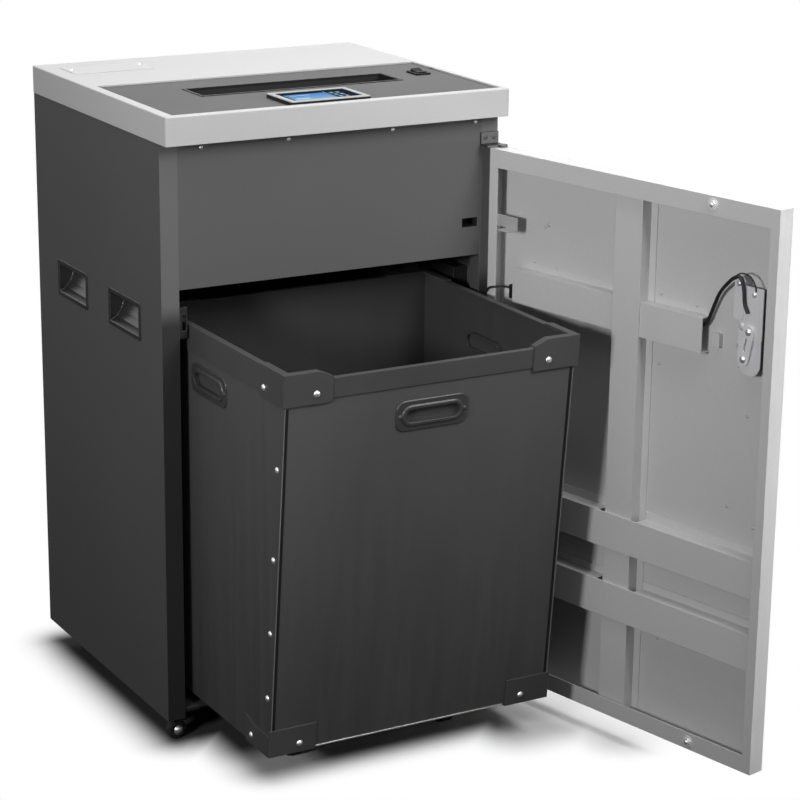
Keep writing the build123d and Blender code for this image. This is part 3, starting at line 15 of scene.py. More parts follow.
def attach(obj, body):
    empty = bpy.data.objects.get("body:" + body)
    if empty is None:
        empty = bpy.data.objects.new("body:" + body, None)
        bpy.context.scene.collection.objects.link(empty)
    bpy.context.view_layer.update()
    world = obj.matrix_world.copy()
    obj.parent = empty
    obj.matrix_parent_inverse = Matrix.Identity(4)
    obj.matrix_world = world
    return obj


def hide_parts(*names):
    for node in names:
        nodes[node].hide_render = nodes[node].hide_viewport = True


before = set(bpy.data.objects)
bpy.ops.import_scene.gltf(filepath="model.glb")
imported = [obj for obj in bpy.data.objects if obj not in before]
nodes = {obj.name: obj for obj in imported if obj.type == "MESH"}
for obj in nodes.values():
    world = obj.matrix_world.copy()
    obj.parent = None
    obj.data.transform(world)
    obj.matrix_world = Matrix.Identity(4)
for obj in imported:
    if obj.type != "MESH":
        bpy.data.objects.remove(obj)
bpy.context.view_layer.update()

# %% [markdown]
# ## The camera
# The photograph was taken from the left front, a little above the lid, with a long lens. A camera matrix
# needs three directions: to the right, up, and back towards the photographer. They come from an azimuth,
# an elevation and a slight roll, so the numbers stay readable.

# %% Camera at the photograph's angle
CAMERA_PLACE = Vector((-1.6858, -3.3962, 1.5831))
CAMERA_AZIMUTH = -29.56
CAMERA_ELEVATION = 16.709
CAMERA_ROLL = math.radians(0.66)
CAMERA_LENS = 112.73
SENSOR_WIDTH = 36.0


def direction(azimuth, elevation):
    """A unit vector by compass angle, from the front towards the right, and height angle."""
    a, e = math.radians(azimuth), math.radians(elevation)
    return Vector((math.sin(a) * math.cos(e), -math.cos(a) * math.cos(e), math.sin(e)))


backward = direction(CAMERA_AZIMUTH, CAMERA_ELEVATION)
sideways = (-backward).cross(Vector((0, 0, 1))).normalized()
upward = sideways.cross(-backward)
rolled_side = sideways * math.cos(CAMERA_ROLL) + upward * math.sin(CAMERA_ROLL)
rolled_up = upward * math.cos(CAMERA_ROLL) - sideways * math.sin(CAMERA_ROLL)

lens = bpy.data.cameras.new("photo_lens")
lens.lens = CAMERA_LENS
lens.sensor_width = SENSOR_WIDTH
camera = bpy.data.objects.new("photo_camera", lens)
bpy.context.scene.collection.objects.link(camera)
turn = Matrix((rolled_side, rolled_up, backward)).transposed().to_4x4()
camera.matrix_world = Matrix.Translation(CAMERA_PLACE) @ turn
bpy.context.scene.camera = camera
bpy.context.scene.view_settings.view_transform = "Standard"
print("camera", [round(v, 3) for v in camera.location])

# %% [markdown]
# ## Shader maths as plain Python
# A material is a graph of nodes, which is slow to read as code. A small class wraps a socket, so that
# `1 - mask * 0.3` adds the Math nodes by itself.

# %% A socket with operators
class Field:
    """A number that changes over a surface: one output socket of a node."""

    def __init__(self, finish, socket):
        self.finish = finish
        self.socket = socket

    def math(self, operation, other, swapped=False):
        pair = (other, self) if swapped else (self, other)
        return self.finish.node("ShaderNodeMath", {"operation": operation}, {0: pair[0], 1: pair[1]})

    def __add__(self, other):
        return self.math("ADD", other)

    def __sub__(self, other):
        return self.math("SUBTRACT", other)

    def __rsub__(self, other):
        return self.math("SUBTRACT", other, True)

    def __mul__(self, other):
        return self.math("MULTIPLY", other)


print("made the class", Field.__name__)

# %% [markdown]
# A second class is a whole material. It makes nodes, feeds their inputs with numbers or with fields, and has
# a method for each pattern that several finishes share: noise, a range, a mix, a bump, and the folds of a
# sheet, found by comparing a rounded normal with the flat one.

# %% A material made of nodes
class Finish:
    """A material with one Principled shader, fed by nodes."""

    def __init__(self, name):
        self.material = bpy.data.materials.new(name)
        self.material.use_nodes = True
        self.tree = self.material.node_tree
        self.tree.nodes.clear()
        self.output = self.tree.nodes.new("ShaderNodeOutputMaterial")
        self.shader = self.tree.nodes.new("ShaderNodeBsdfPrincipled")
        self.tree.links.new(self.shader.outputs[0], self.output.inputs[0])

    def feed(self, socket, value):
        """Link a field to a socket, or set the socket to a constant."""
        if isinstance(value, Field):
            self.tree.links.new(value.socket, socket)
        else:
            socket.default_value = value

    def node(self, kind, settings=None, inputs=None, out=0):
        """A node with its settings and inputs; the field is one of its outputs."""
        made = self.tree.nodes.new(kind)
        for name, value in (settings or {}).items():
            setattr(made, name, value)
        for key, value in (inputs or {}).items():
            self.feed(made.inputs[key], value)
        return Field(self, made.outputs[out])

    def place(self):
        """Object coordinates, which are the model's own metres."""
        return self.node("ShaderNodeTexCoord", out="Object")

    def axes(self):
        """The three object coordinates as separate numbers."""
        split = self.node("ShaderNodeSeparateXYZ", inputs={0: self.place()})
        return [Field(self, socket) for socket in split.socket.node.outputs]

    def stretched(self, scale):
        """Object coordinates with a scale for each axis."""
        return self.node("ShaderNodeMapping", inputs={"Vector": self.place(), "Scale": scale})

    def noise(self, scale, detail=2.0, roughness=0.5, vector=None):
        return self.node("ShaderNodeTexNoise", {"noise_dimensions": "3D"}, {
            "Vector": vector or self.place(), "Scale": scale, "Detail": detail, "Roughness": roughness})

    def ranged(self, value, low, high, new_low=0.0, new_high=1.0, kind="SMOOTHSTEP"):
        """A number moved from one range to another, and kept within it."""
        return self.node("ShaderNodeMapRange", {"interpolation_type": kind}, {
            0: value, 1: low, 2: high, 3: new_low, 4: new_high})

    def mixed(self, share, first, second):
        """Two colours mixed by a share."""
        return self.node("ShaderNodeMix", {"data_type": "RGBA"}, {0: share, 6: first, 7: second}, out=2)

    def ramp(self, share, stops):
        """Colours at stops along a share."""
        field = self.node("ShaderNodeValToRGB", inputs={0: share})
        elements = field.socket.node.color_ramp.elements
        while len(elements) < len(stops):
            elements.new(1.0)
        for element, (place, colour) in zip(elements, stops):
            element.position = place
            element.color = colour
        return field

    def bumped(self, height, strength, distance, normal):
        return self.node("ShaderNodeBump", inputs={
            "Height": height, "Strength": strength, "Distance": distance, "Normal": normal})

    def rounded(self, radius):
        """A normal that rounds sharp folds, as paint and a press brake do."""
        return self.node("ShaderNodeBevel", {"samples": 4}, {"Radius": radius})

    def facing(self, way):
        """How far a flat faces a direction, as a cosine."""
        flat = self.node("ShaderNodeNewGeometry", out="Normal")
        return self.node("ShaderNodeVectorMath", {"operation": "DOT_PRODUCT"}, {0: flat, 1: way}, out="Value")

    def folds(self, radius):
        """One on the folds and edges of a sheet, nought on its flats."""
        return self.ranged(1 - self.facing(self.rounded(radius)), 0.01, 0.25)

    def turned(self, way):
        """One where a flat faces a direction, nought elsewhere."""
        return self.ranged(self.facing(way), 0.7, 0.9)

    def surface(self, **sockets):
        """Feed the shader's sockets, and give the material."""
        for name, value in sockets.items():
            self.feed(self.shader.inputs[name.replace("_", " ")], value)
        return self.material


EVEN = (1.0, 1.0, 1.0)


def grey(value, tint=EVEN):
    return (value * tint[0], value * tint[1], value * tint[2], 1.0)


print("made the class", Finish.__name__, "and greys such as", grey(0.5))

# %% [markdown]
# ## Powder coat
# Most of the machine is folded sheet with a baked powder coat. Close up it is a fine orange peel with a
# slight sparkle; from a step back it is an even satin, and its folds carry a painted highlight. One function
# makes every shade of it: a broad cloud for unevenness, a fine noise for the peel, and the fold mask for the
# painted highlight on the edges. The front faces of the posts carry painted light and shade: a painted
# lighter shade beside the upper panel, and below it a painted dark shade where the bin shades them. The hinge
# brackets are dark, apart from the plates that are screwed to the posts, which get the posts' painted lighter
# shade.

# %% Powder coats of the cabinet, lid and door
PEEL_SCALE = 900.0
PEEL_HEIGHT = 0.00006
CLOUD_SCALE = 3.5
FOLD_RADIUS = 0.0012
# The step on the posts' front faces, with painted shade below it and painted light above it.
POST_SHADE_STEP = 0.665
POST_SHADE_BLUR = 0.02
HINGE_BLACK_AND_POST_SHADE = 0.035
POST_PAINTED_LIGHT = 0.15
PALEST_FOLD_HIGHLIGHT = 0.95


def powder_coat(name, shade, roughness, peel, edge, specular, post_shade_and_light=None):
    """A coat, with painted shade and painted light on its front faces below and above a step, where they are
    given.
    """
    coat = Finish(name)
    cloud = coat.noise(CLOUD_SCALE, 3.0)
    grain = coat.noise(PEEL_SCALE, 1.0)
    folds = coat.folds(FOLD_RADIUS)
    even = coat.mixed(cloud, grey(shade * 0.94), grey(shade * 1.06))
    colour = coat.mixed(coat.ranged(grain, 0.35, 0.65, 0.0, 0.5), even, grey(shade * 0.86))
    # Front faces: painted shade below the step, painted light above it.
    if post_shade_and_light:
        upper = coat.ranged(coat.axes()[2], POST_SHADE_STEP - POST_SHADE_BLUR, POST_SHADE_STEP + POST_SHADE_BLUR)
        front = coat.mixed(upper, grey(post_shade_and_light[0]), grey(post_shade_and_light[1]))
        colour = coat.mixed(coat.turned((0, -1, 0)), colour, front)
    # Painted highlight on the folds.
    colour = coat.mixed(folds * 0.55, colour, grey(min(shade * edge, PALEST_FOLD_HIGHLIGHT)))
    rough = coat.ranged(cloud + grain * 0.4, 0.3, 1.0, roughness - 0.05, roughness + 0.06, "LINEAR")
    bump = coat.bumped(grain, peel, PEEL_HEIGHT, coat.rounded(FOLD_RADIUS * 0.8))
    return coat.surface(Base_Color=colour, Roughness=rough, Specular_IOR_Level=specular, Normal=bump)


# Each row: name, shade, roughness, strength of the peel, painted highlight on the folds, gloss, and for some
# rows the painted shade and light of the front faces below and above the step.
paint = {
    "plate": powder_coat("plate_coat", 0.66, 0.5, 0.1, 1.15, 0.25),
    "lid": powder_coat("lid_powder_coat", 0.545, 0.42, 0.12, 1.2, 0.4),
    "inlay": powder_coat("inlay_powder_coat", 0.095, 0.6, 0.2, 1.1, 0.15),
    # The posts' front faces get painted shade below the step and painted light above it; the hinge plates'
    # front faces get the same painted light.
    "body": powder_coat("body_powder_coat", 0.086, 0.5, 0.3, 1.8, 0.25, (HINGE_BLACK_AND_POST_SHADE, POST_PAINTED_LIGHT)),
    "panel": powder_coat("panel_powder_coat", 0.120, 0.5, 0.3, 1.6, 0.25),
    "hinge": powder_coat("hinge_powder_coat", HINGE_BLACK_AND_POST_SHADE, 0.5, 0.3, 1.3, 0.25, (POST_PAINTED_LIGHT, POST_PAINTED_LIGHT)),
    "door": powder_coat("door_powder_coat", 0.64, 0.42, 0.12, 1.25, 0.35),
    # The tab's coat is a darker copy of the door's: painted shade that tones down its lit faces.
    "tab": powder_coat("tab_coat_painted_shade", 0.42, 0.5, 0.12, 1.25, 0.25),
}
print("powder coats", sorted(paint))

# %% [markdown]
# ## Board and mouldings
# The bin is cut from twin-wall plastic board: its upright flutes show as faint lines, and a painted shade
# makes it a little darker towards the bottom and paler towards the top. Grips, caps and rim are moulded black
# with a fine spark texture and a painted highlight on their edges. Each is a few nodes on object coordinates,
# so nothing needs unwrapping.

# %% Board, mouldings and rubber
FLUTE_PITCH = 0.0045
FLUTE_HEIGHT = 0.0002
SPARK_SCALE = 1400.0
SPARK_HEIGHT = 0.00005


def fluted_board(name, shade):
    """Twin-wall board with upright flutes, streaks and scuffs; a painted shade makes it darker towards the
    bottom and paler towards the top.
    """
    board = Finish(name)
    x, y, z = board.axes()
    along = (x + y) * (2 * math.pi / FLUTE_PITCH)
    flutes = board.node("ShaderNodeMath", {"operation": "SINE"}, {0: along})
    streak = board.noise(60.0, 3.0, 0.6, board.stretched((1.0, 1.0, 0.04)))
    cloud = board.noise(4.0, 3.0)
    scuff = board.ranged(board.noise(220.0, 4.0, 0.7), 0.62, 0.78)
    # Painted shade: darker towards the bottom, paler towards the top.
    painted_shade_by_height = board.ranged(z + cloud * 0.08, 0.10, 0.62, 0.0, 1.0, "LINEAR")
    base = board.mixed(painted_shade_by_height, grey(shade * 0.76), grey(shade * 1.22))
    lined = board.mixed(board.ranged(streak, 0.3, 0.75, 0.0, 0.3), base, grey(shade * 1.3))
    colour = board.mixed(scuff * 0.12, lined, grey(shade * 1.9))
    rough = board.ranged(streak, 0.2, 0.8, 0.44, 0.54, "LINEAR")
    bump = board.bumped(flutes * 0.6 + streak * 0.4, 0.12, FLUTE_HEIGHT, board.rounded(0.0008))
    return board.surface(Base_Color=colour, Roughness=rough, Specular_IOR_Level=0.4, Normal=bump)


def moulded(name, shade, roughness=0.45, specular=0.45, edge=2.2, radius=0.0009):
    """A moulding with a spark texture, whose edges are rounded and carry a painted highlight."""
    moulding = Finish(name)
    spark = moulding.noise(SPARK_SCALE, 2.0)
    cloud = moulding.noise(9.0, 2.0)
    folds = moulding.folds(radius * 1.1)
    base = moulding.mixed(cloud, grey(shade * 0.85), grey(shade * 1.15))
    # Painted highlight on the rounded edges.
    colour = moulding.mixed(folds * 0.5, base, grey(shade * edge + 0.01))
    rough = moulding.ranged(spark + cloud * 0.5, 0.4, 1.1, roughness - 0.08, roughness + 0.1, "LINEAR")
    bump = moulding.bumped(spark, 0.25, SPARK_HEIGHT, moulding.rounded(radius))
    return moulding.surface(Base_Color=colour, Roughness=rough, Specular_IOR_Level=specular, Normal=bump)


# Each moulded row: name, shade, roughness, gloss, painted highlight on the edges, radius of the edges.
finish = {
    "board": fluted_board("fluted_bin_board", 0.067),
    # A darker copy of the board for the bin's inner walls and floor: painted shade.
    "painted_shade_inner_board": fluted_board("fluted_bin_board_painted_shade", 0.046),
    "moulding": moulded("black_moulding", 0.018),
    "rim": moulded("black_rim_band", 0.058, 0.5),
    "grip": moulded("grip_moulding", 0.02, 0.26, 0.8, 9.0, 0.0016),
    "bin_grip": moulded("bin_grip_moulding", 0.042, 0.38, 0.6, 4.0, 0.0014),
    "switch": moulded("switch_moulding", 0.012, 0.6, 0.08),
    "throat": moulded("throat_moulding", 0.012, 0.55, 0.15),
    "black_steel": moulded("black_coated_steel", 0.02, 0.38, 0.5),
    "rubber": moulded("wheel_rubber", 0.02, 0.7, 0.25),
    "lead": moulded("lead_sleeve", 0.012, 0.5, 0.35),
    "nylon": moulded("white_nylon", 0.80, 0.25, 0.7),
    "edge": moulded("cut_board_edge", 0.20, 0.6, 0.2),
}
print("board and mouldings", sorted(finish))

# %% [markdown]
# ## Metals
# Plated steel is nearly neutral, with short rolling marks in its roughness. The noise is stretched along the
# rolling, the turning or the grinding, so one function serves sheets, cutters and bushes. The motor's enamel
# is a powder coat with more gloss.

# %% Steels, bronze and enamel
COLD_TINT = (1.0, 1.0, 1.02)
BRONZE_TINT = (1.0, 0.72, 0.36)
ROLLED = (1.0, 1.0, 14.0)
MARK_HEIGHT = 0.00004


def metal(name, shade, roughness, stretch=ROLLED, tint=COLD_TINT, scale=160.0, metallic=1.0):
    """A metal with marks along its making, and a painted highlight on its folds."""
    sheet = Finish(name)
    marks = sheet.noise(scale, 4.0, 0.65, sheet.stretched(stretch))
    cloud = sheet.noise(24.0, 2.0)
    folds = sheet.folds(0.0006)
    base = sheet.mixed(marks, grey(shade * 0.86, tint), grey(min(shade * 1.1, 0.95), tint))
    # Painted highlight on the folds.
    colour = sheet.mixed(folds * 0.4, base, grey(min(shade * 1.35, 0.97), tint))
    rough = sheet.ranged(marks * 0.7 + cloud * 0.3, 0.25, 0.75, roughness - 0.1, roughness + 0.12, "LINEAR")
    bump = sheet.bumped(marks, 0.08, MARK_HEIGHT, sheet.rounded(0.0005))
    return sheet.surface(Base_Color=colour, Metallic=metallic, Roughness=rough, Normal=bump)


finish["zinc"] = metal("zinc_plate", 0.84, 0.36, metallic=0.25)
finish["bright"] = metal("bright_rivet_steel", 0.85, 0.22, EVEN, scale=500.0, metallic=0.7)
finish["cutter"] = metal("ground_cutter_steel", 0.5, 0.3, (10.0, 1.0, 1.0))
finish["head"] = metal("phosphated_plate", 0.16, 0.5, (1.0, 1.0, 3.0))
finish["bronze"] = metal("sintered_bronze", 0.6, 0.4, EVEN, BRONZE_TINT, 600.0)
finish["enamel"] = powder_coat("motor_enamel", 0.05, 0.3, 0.1, 1.3, 0.5)
print("finishes so far", len(finish))

# %% [markdown]
# ## The touch display
# The frame round the glass is silver on top and black at its sides, so its colour goes by height. The
# glass is lit from below: a pale blue page with bars across it and two columns of square keys. Each mark is
# a box made of two comparisons along each side of the glass.

# %% Display frame and lit glass
DISPLAY_CENTRE = (-0.010, -0.191)
GLASS_HALF = (0.0557, 0.0327)
FRAME_TOP = 0.9605
DARK_GLASS = (0.006, 0.008, 0.014, 1.0)
KEY_BLUE = (0.16, 0.33, 0.46, 1.0)
KEY_MARK = (0.62, 0.82, 0.90, 1.0)
PAGE_BOX = (0.04, 0.64, 0.05, 0.74)
PAGE_STOPS = ((0.0, (0.38, 0.62, 0.85, 1.0)), (0.45, (0.13, 0.38, 0.78, 1.0)), (1.0, (0.10, 0.30, 0.66, 1.0)))


def display_frame_finish():
    frame_coat = Finish("display_frame")
    height = frame_coat.axes()[2]
    top = frame_coat.ranged(height, FRAME_TOP - 0.0012, FRAME_TOP - 0.0008)
    grain = frame_coat.noise(700.0, 2.0)
    silver = frame_coat.mixed(grain, grey(0.34), grey(0.42))
    colour = frame_coat.mixed(top, grey(0.012), silver)
    rough = frame_coat.ranged(grain, 0.2, 0.8, 0.3, 0.42, "LINEAR")
    return frame_coat.surface(Base_Color=colour, Roughness=rough, Specular_IOR_Level=0.2,
                              Normal=frame_coat.rounded(0.0005))


def lit_glass_finish():
    glass = Finish("lit_display_glass")
    x, y, _ = glass.axes()
    across = (x - (DISPLAY_CENTRE[0] - GLASS_HALF[0])) * (0.5 / GLASS_HALF[0])
    along = (y - (DISPLAY_CENTRE[1] - GLASS_HALF[1])) * (0.5 / GLASS_HALF[1])

    def between(value, low, high, soft=0.006):
        return glass.ranged(value, low, low + soft) * glass.ranged(value, high - soft, high, 1.0, 0.0)

    def box(left, right, low, high):
        return between(across, left, right) * between(along, low, high)

    marks = [((0.10, 0.40, 0.56, 0.62), (0.62, 0.80, 0.95, 1.0)),
             ((0.10, 0.52, 0.40, 0.44), (0.33, 0.58, 0.88, 1.0)),
             ((0.10, 0.30, 0.16, 0.30), (0.60, 0.80, 0.96, 1.0)),
             ((0.645, 0.665, 0.05, 0.82), (0.45, 0.72, 0.88, 1.0))]
    for column in (0.70, 0.79):
        for row in (0.10, 0.33, 0.56):
            marks.append(((column, column + 0.07, row, row + 0.17), KEY_BLUE))
            marks.append(((column + 0.02, column + 0.05, row + 0.05, row + 0.12), KEY_MARK))
    page = glass.ramp(along + glass.noise(45.0, 2.0) * 0.25 - 0.12, PAGE_STOPS)
    lit = glass.mixed(box(*PAGE_BOX), DARK_GLASS, page)
    for edges, colour in marks:
        lit = glass.mixed(box(*edges), lit, colour)
    smear = glass.ranged(glass.noise(60.0, 3.0), 0.3, 0.8, 0.06, 0.16, "LINEAR")
    return glass.surface(Base_Color=(0.01, 0.012, 0.016, 1.0), Roughness=smear, Specular_IOR_Level=0.0,
                         Emission_Color=lit, Emission_Strength=0.8)


finish["display_frame"] = display_frame_finish()
finish["glass"] = lit_glass_finish()
print("display finishes made")

# %% [markdown]
# ## Every CAD node gets its finish
# The nodes keep their shapes. A table from finish to nodes is easier to check than sixty assignments.

# %% Hand the finishes to the nodes
CORNERS = ("front_left", "front_right", "rear_left", "rear_right")
dressed = {
    paint["lid"]: ["lid_shell"],
    paint["inlay"]: ["lid_inlay"],
    paint["body"]: ["side_panel_left", "side_panel_right", "rear_panel", "base_frame", "head_deck"],
    paint["hinge"]: ["hinge_bracket_upper", "hinge_bracket_lower"],
    paint["panel"]: ["upper_front_panel"],
    paint["door"]: ["door_pan", "door_stile", "door_rails", "cable_covers"],
    # The tab gets a darker copy of the door paint as painted shade.
    paint["tab"]: ["interlock_tab"],
    finish["board"]: ["bin_wall_left", "bin_wall_front"],
    # The walls whose inside shows, and the floor, get the board's painted shade copy.
    finish["painted_shade_inner_board"]: ["bin_wall_right", "bin_wall_rear", "bin_floor"],
    finish["rim"]: ["bin_rim", "bin_corner_caps"],
    finish["bin_grip"]: ["bin_handles"],
    finish["moulding"]: ["power_inlet", "interlock_switch", "control_box", "stripper_combs"],
    finish["grip"]: ["side_grips"],
    finish["switch"]: ["switch_frame", "switch_rocker"],
    finish["throat"]: ["feed_throat"],
    # The caster plates are dressed in black steel as painted shade under the cabinet.
    finish["black_steel"]: ["strike_plate", "lock_case", "caster_plates"]
                           + ["caster_fork_" + corner for corner in CORNERS],
    finish["zinc"]: ["lock_bracket", "lock_lever", "bin_axle_brackets"],
    finish["rubber"]: ["bin_wheelset_front", "bin_wheelset_rear"]
                      + ["caster_wheel_" + corner for corner in CORNERS],
    finish["cutter"]: ["cutter_front", "cutter_rear", "sync_gear_front", "drive_gear_cluster",
                       "motor_pinion", "head_tie_bars"],
    finish["head"]: ["head_plate_left", "head_plate_right"],
    finish["bronze"]: ["shaft_bushes"],
    finish["enamel"]: ["motor"],
    finish["lead"]: ["lock_cable"],
    finish["display_frame"]: ["display_bezel"],
    finish["glass"]: ["display_panel"],
}
for material, names in dressed.items():
    for name in names:
        nodes[name].data.materials.clear()
        nodes[name].data.materials.append(material)
plain = sorted(set(nodes) - {name for names in dressed.values() for name in names})
print("nodes without a finish:", plain)

# %% [markdown]
# ## Rivets, screws and bolts
# Fasteners repeat, so Geometry Nodes set one head on every point of a small mesh. Each point carries the
# direction that its head faces. The dome starts as a sphere whose lower half is pressed flat; a washer
# goes under it, and a screw also gets a cross recess cut out. The result is realised into a plain mesh.

# %% The fastener tree
HEAD_SIZES = ("Head Radius", "Head Height", "Washer Radius", "Washer Thickness")
RECESS_LENGTH = 1.15
RECESS_WIDTH = 0.22
RECESS_DEPTH = 0.9


def fastener_tree(name, sides, recess):
    """A node group that sets a washer and a head on each point, facing the point's own direction."""
    tree = bpy.data.node_groups.new(name, "GeometryNodeTree")
    sockets = [("Geometry", "INPUT", "Geometry"), *((label, "INPUT", "Float") for label in HEAD_SIZES),
               ("Finish", "INPUT", "Material"), ("Geometry", "OUTPUT", "Geometry")]
    for label, way, kind in sockets:
        tree.interface.new_socket(label, in_out=way, socket_type="NodeSocket" + kind)
    given = tree.nodes.new("NodeGroupInput").outputs
    radius, height, washer_radius, washer_thickness = (given[label] for label in HEAD_SIZES)

    def add(kind, inputs, **settings):
        """A node's first output, with the node's inputs linked to sockets or set to constants."""
        made = tree.nodes.new(kind)
        for key, value in settings.items():
            setattr(made, key, value)
        for key, value in inputs.items():
            for item in value if isinstance(value, list) else [value]:
                if isinstance(item, bpy.types.NodeSocket):
                    tree.links.new(item, made.inputs[key])
                else:
                    made.inputs[key].default_value = item
        return made.outputs[0]

    def times(first, second):
        return add("ShaderNodeMath", {0: first, 1: second}, operation="MULTIPLY")

    def vector(x, y, z):
        return add("ShaderNodeCombineXYZ", {"X": x, "Y": y, "Z": z})

    def raised(shape, lift):
        return add("GeometryNodeTransform", {"Geometry": shape, "Translation": vector(0.0, 0.0, lift)})

    if sides:
        prism = add("GeometryNodeMeshCylinder", {"Vertices": sides, "Radius": radius, "Depth": height})
        head = raised(prism, times(height, 0.5))
    else:
        ball = add("GeometryNodeMeshUVSphere", {"Segments": 20, "Rings": 12, "Radius": 1.0})
        place = add("ShaderNodeSeparateXYZ", {0: add("GeometryNodeInputPosition", {})}).node.outputs
        upper = add("ShaderNodeMath", {0: place["Z"], 1: 0.0}, operation="MAXIMUM")
        pressed = vector(times(place["X"], radius), times(place["Y"], radius), times(upper, height))
        head = add("GeometryNodeSetPosition", {"Geometry": ball, "Position": pressed})

    if recess:
        bars = []
        for along, across in ((RECESS_LENGTH, RECESS_WIDTH), (RECESS_WIDTH, RECESS_LENGTH)):
            size = vector(times(radius, along), times(radius, across), times(height, RECESS_DEPTH))
            bars.append(raised(add("GeometryNodeMeshCube", {"Size": size}), height))
        head = add("GeometryNodeMeshBoolean", {"Mesh 1": head, "Mesh 2": bars}, operation="DIFFERENCE")

    washer = add("GeometryNodeMeshCylinder", {
        "Vertices": 24, "Radius": washer_radius, "Depth": washer_thickness})
    both = add("GeometryNodeJoinGeometry", {0: [head, washer]})
    way = add("GeometryNodeInputNamedAttribute", {"Name": "facing"}, data_type="FLOAT_VECTOR")
    aligned = add("FunctionNodeAlignRotationToVector", {"Vector": way}, axis="Z")
    placed = add("GeometryNodeInstanceOnPoints", {
        "Points": given["Geometry"], "Instance": both, "Rotation": aligned})
    realised = add("GeometryNodeRealizeInstances", {0: placed})
    coloured = add("GeometryNodeSetMaterial", {"Geometry": realised, "Material": given["Finish"]})
    tree.links.new(coloured, tree.nodes.new("NodeGroupOutput").inputs[0])
    return tree


rivet_tree = fastener_tree("dome_rivets", 0, False)
screw_tree = fastener_tree("cross_screws", 0, True)
bolt_tree = fastener_tree("hex_bolts", 6, False)
print("fastener trees", rivet_tree.name, screw_tree.name, bolt_tree.name)

# %% [markdown]
# A modifier's inputs are set by identifier, so a helper looks each one up by its label. After the mesh
# is realised, the modifier goes, and the piece rides on its body like any other. A size is the head's radius
# and height, then the washer's radius and thickness.

# %% Set fasteners on points
def plain_mesh(piece):
    """Replace a piece's mesh by what its modifiers make of it, and drop the modifiers."""
    graph = bpy.context.evaluated_depsgraph_get()
    made = bpy.data.meshes.new_from_object(piece.evaluated_get(graph))
    piece.modifiers.clear()
    piece.data = made
    return piece


def fasteners(name, body, tree, material, places, size):
    """One mesh of equal fasteners: places are pairs of a point and the direction that it faces."""
    points = bpy.data.meshes.new(name)
    points.from_pydata([tuple(point) for point, _ in places], [], [])
    ways = points.attributes.new("facing", "FLOAT_VECTOR", "POINT")
    ways.data.foreach_set("vector", [value for _, way in places for value in way])
    piece = bpy.data.objects.new(name, points)
    bpy.context.scene.collection.objects.link(piece)
    heads = piece.modifiers.new("heads", "NODES")
    heads.node_group = tree
    values = {**dict(zip(HEAD_SIZES, size)), "Finish": material}
    for item in tree.interface.items_tree:
        if item.item_type == "SOCKET" and item.in_out == "INPUT" and item.name in values:
            heads[item.identifier] = values[item.name]
    plain_mesh(piece)
    for polygon in piece.data.polygons:
        polygon.use_smooth = tree is rivet_tree
    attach(piece, body)
    print(name, len(places), "heads,", len(piece.data.polygons), "faces")
    return piece


FRONT = Vector((0, -1, 0))
BACK = Vector((0, 1, 0))
LEFT = Vector((-1, 0, 0))
RIGHT = Vector((1, 0, 0))
UP = Vector((0, 0, 1))
print("directions for the heads are ready")

# %% [markdown]
# The bin leans: its front runs inwards to the bottom. Rivets go up the four corners and through the caps, and
# small ones hold the hand grips.

# %% Rivets of the bin
BIN_TOP = 0.646
BIN_BOTTOM = 0.072
BIN_FRONT = -0.522
BIN_BACK = -0.092
BIN_SIDE = 0.232
BIN_LEAN = 0.0535 / (BIN_TOP - BIN_BOTTOM)
CORNER_LEVELS = (0.508, 0.373, 0.260, 0.159)
CORNER_INSET = 0.0135
CAP_LEVELS_AND_SKINS = ((0.618, 0.004), (0.084, 0.002))
CAP_INSET = 0.056
CAP_REACH = 0.1855
GRIP_FRONT_LEVEL = 0.564
GRIP_SIDE_LEVEL = 0.574
GRIP_Y = -0.282
GRIP_ENDS = (-0.0515, 0.0515)
GRIP_SKIN = 0.002
bin_front_way = Vector((0, -1, -BIN_LEAN)).normalized()
bin_sides = ((-1, LEFT), (1, RIGHT))


def bin_front_y(level):
    """The leaning front of the bin at a level."""
    return BIN_FRONT + (BIN_TOP - level) * BIN_LEAN


def on_bin_front(x, level, off=0.0):
    return Vector((x, bin_front_y(level), level)) + bin_front_way * off


rivet_places = []
for side, way in bin_sides:
    for level in CORNER_LEVELS:
        rivet_places.append((Vector((side * BIN_SIDE, bin_front_y(level) + CORNER_INSET, level)), way))
        rivet_places.append((Vector((side * BIN_SIDE, BIN_BACK - CORNER_INSET, level)), way))
    for level, skin in CAP_LEVELS_AND_SKINS:
        face = side * (BIN_SIDE + skin)
        rivet_places.append((Vector((face, bin_front_y(level) + CAP_INSET, level)), way))
        rivet_places.append((Vector((face, BIN_BACK - CAP_INSET, level)), way))
        rivet_places.append((on_bin_front(side * CAP_REACH, level, skin), bin_front_way))
        rivet_places.append((Vector((side * CAP_REACH, BIN_BACK + skin, level)), BACK))
fasteners("bin_rivets", "bin", rivet_tree, finish["bright"], rivet_places,
          (0.0046, 0.0028, 0.0050, 0.0012))
grip_places = [(on_bin_front(x, GRIP_FRONT_LEVEL, GRIP_SKIN), bin_front_way) for x in GRIP_ENDS]
grip_places += [(Vector((side * (BIN_SIDE + GRIP_SKIN), GRIP_Y + x, GRIP_SIDE_LEVEL)), way)
                for side, way in bin_sides for x in GRIP_ENDS]
fasteners("bin_grip_rivets", "bin", rivet_tree, finish["rim"], grip_places,
          (0.0032, 0.0016, 0.0036, 0.0004))

# %% [markdown]
# The cabinet's sheets are held by small screws with a cross recess. Each caster's axle ends in a round nut on
# both sides of its fork, a little behind the swivel.

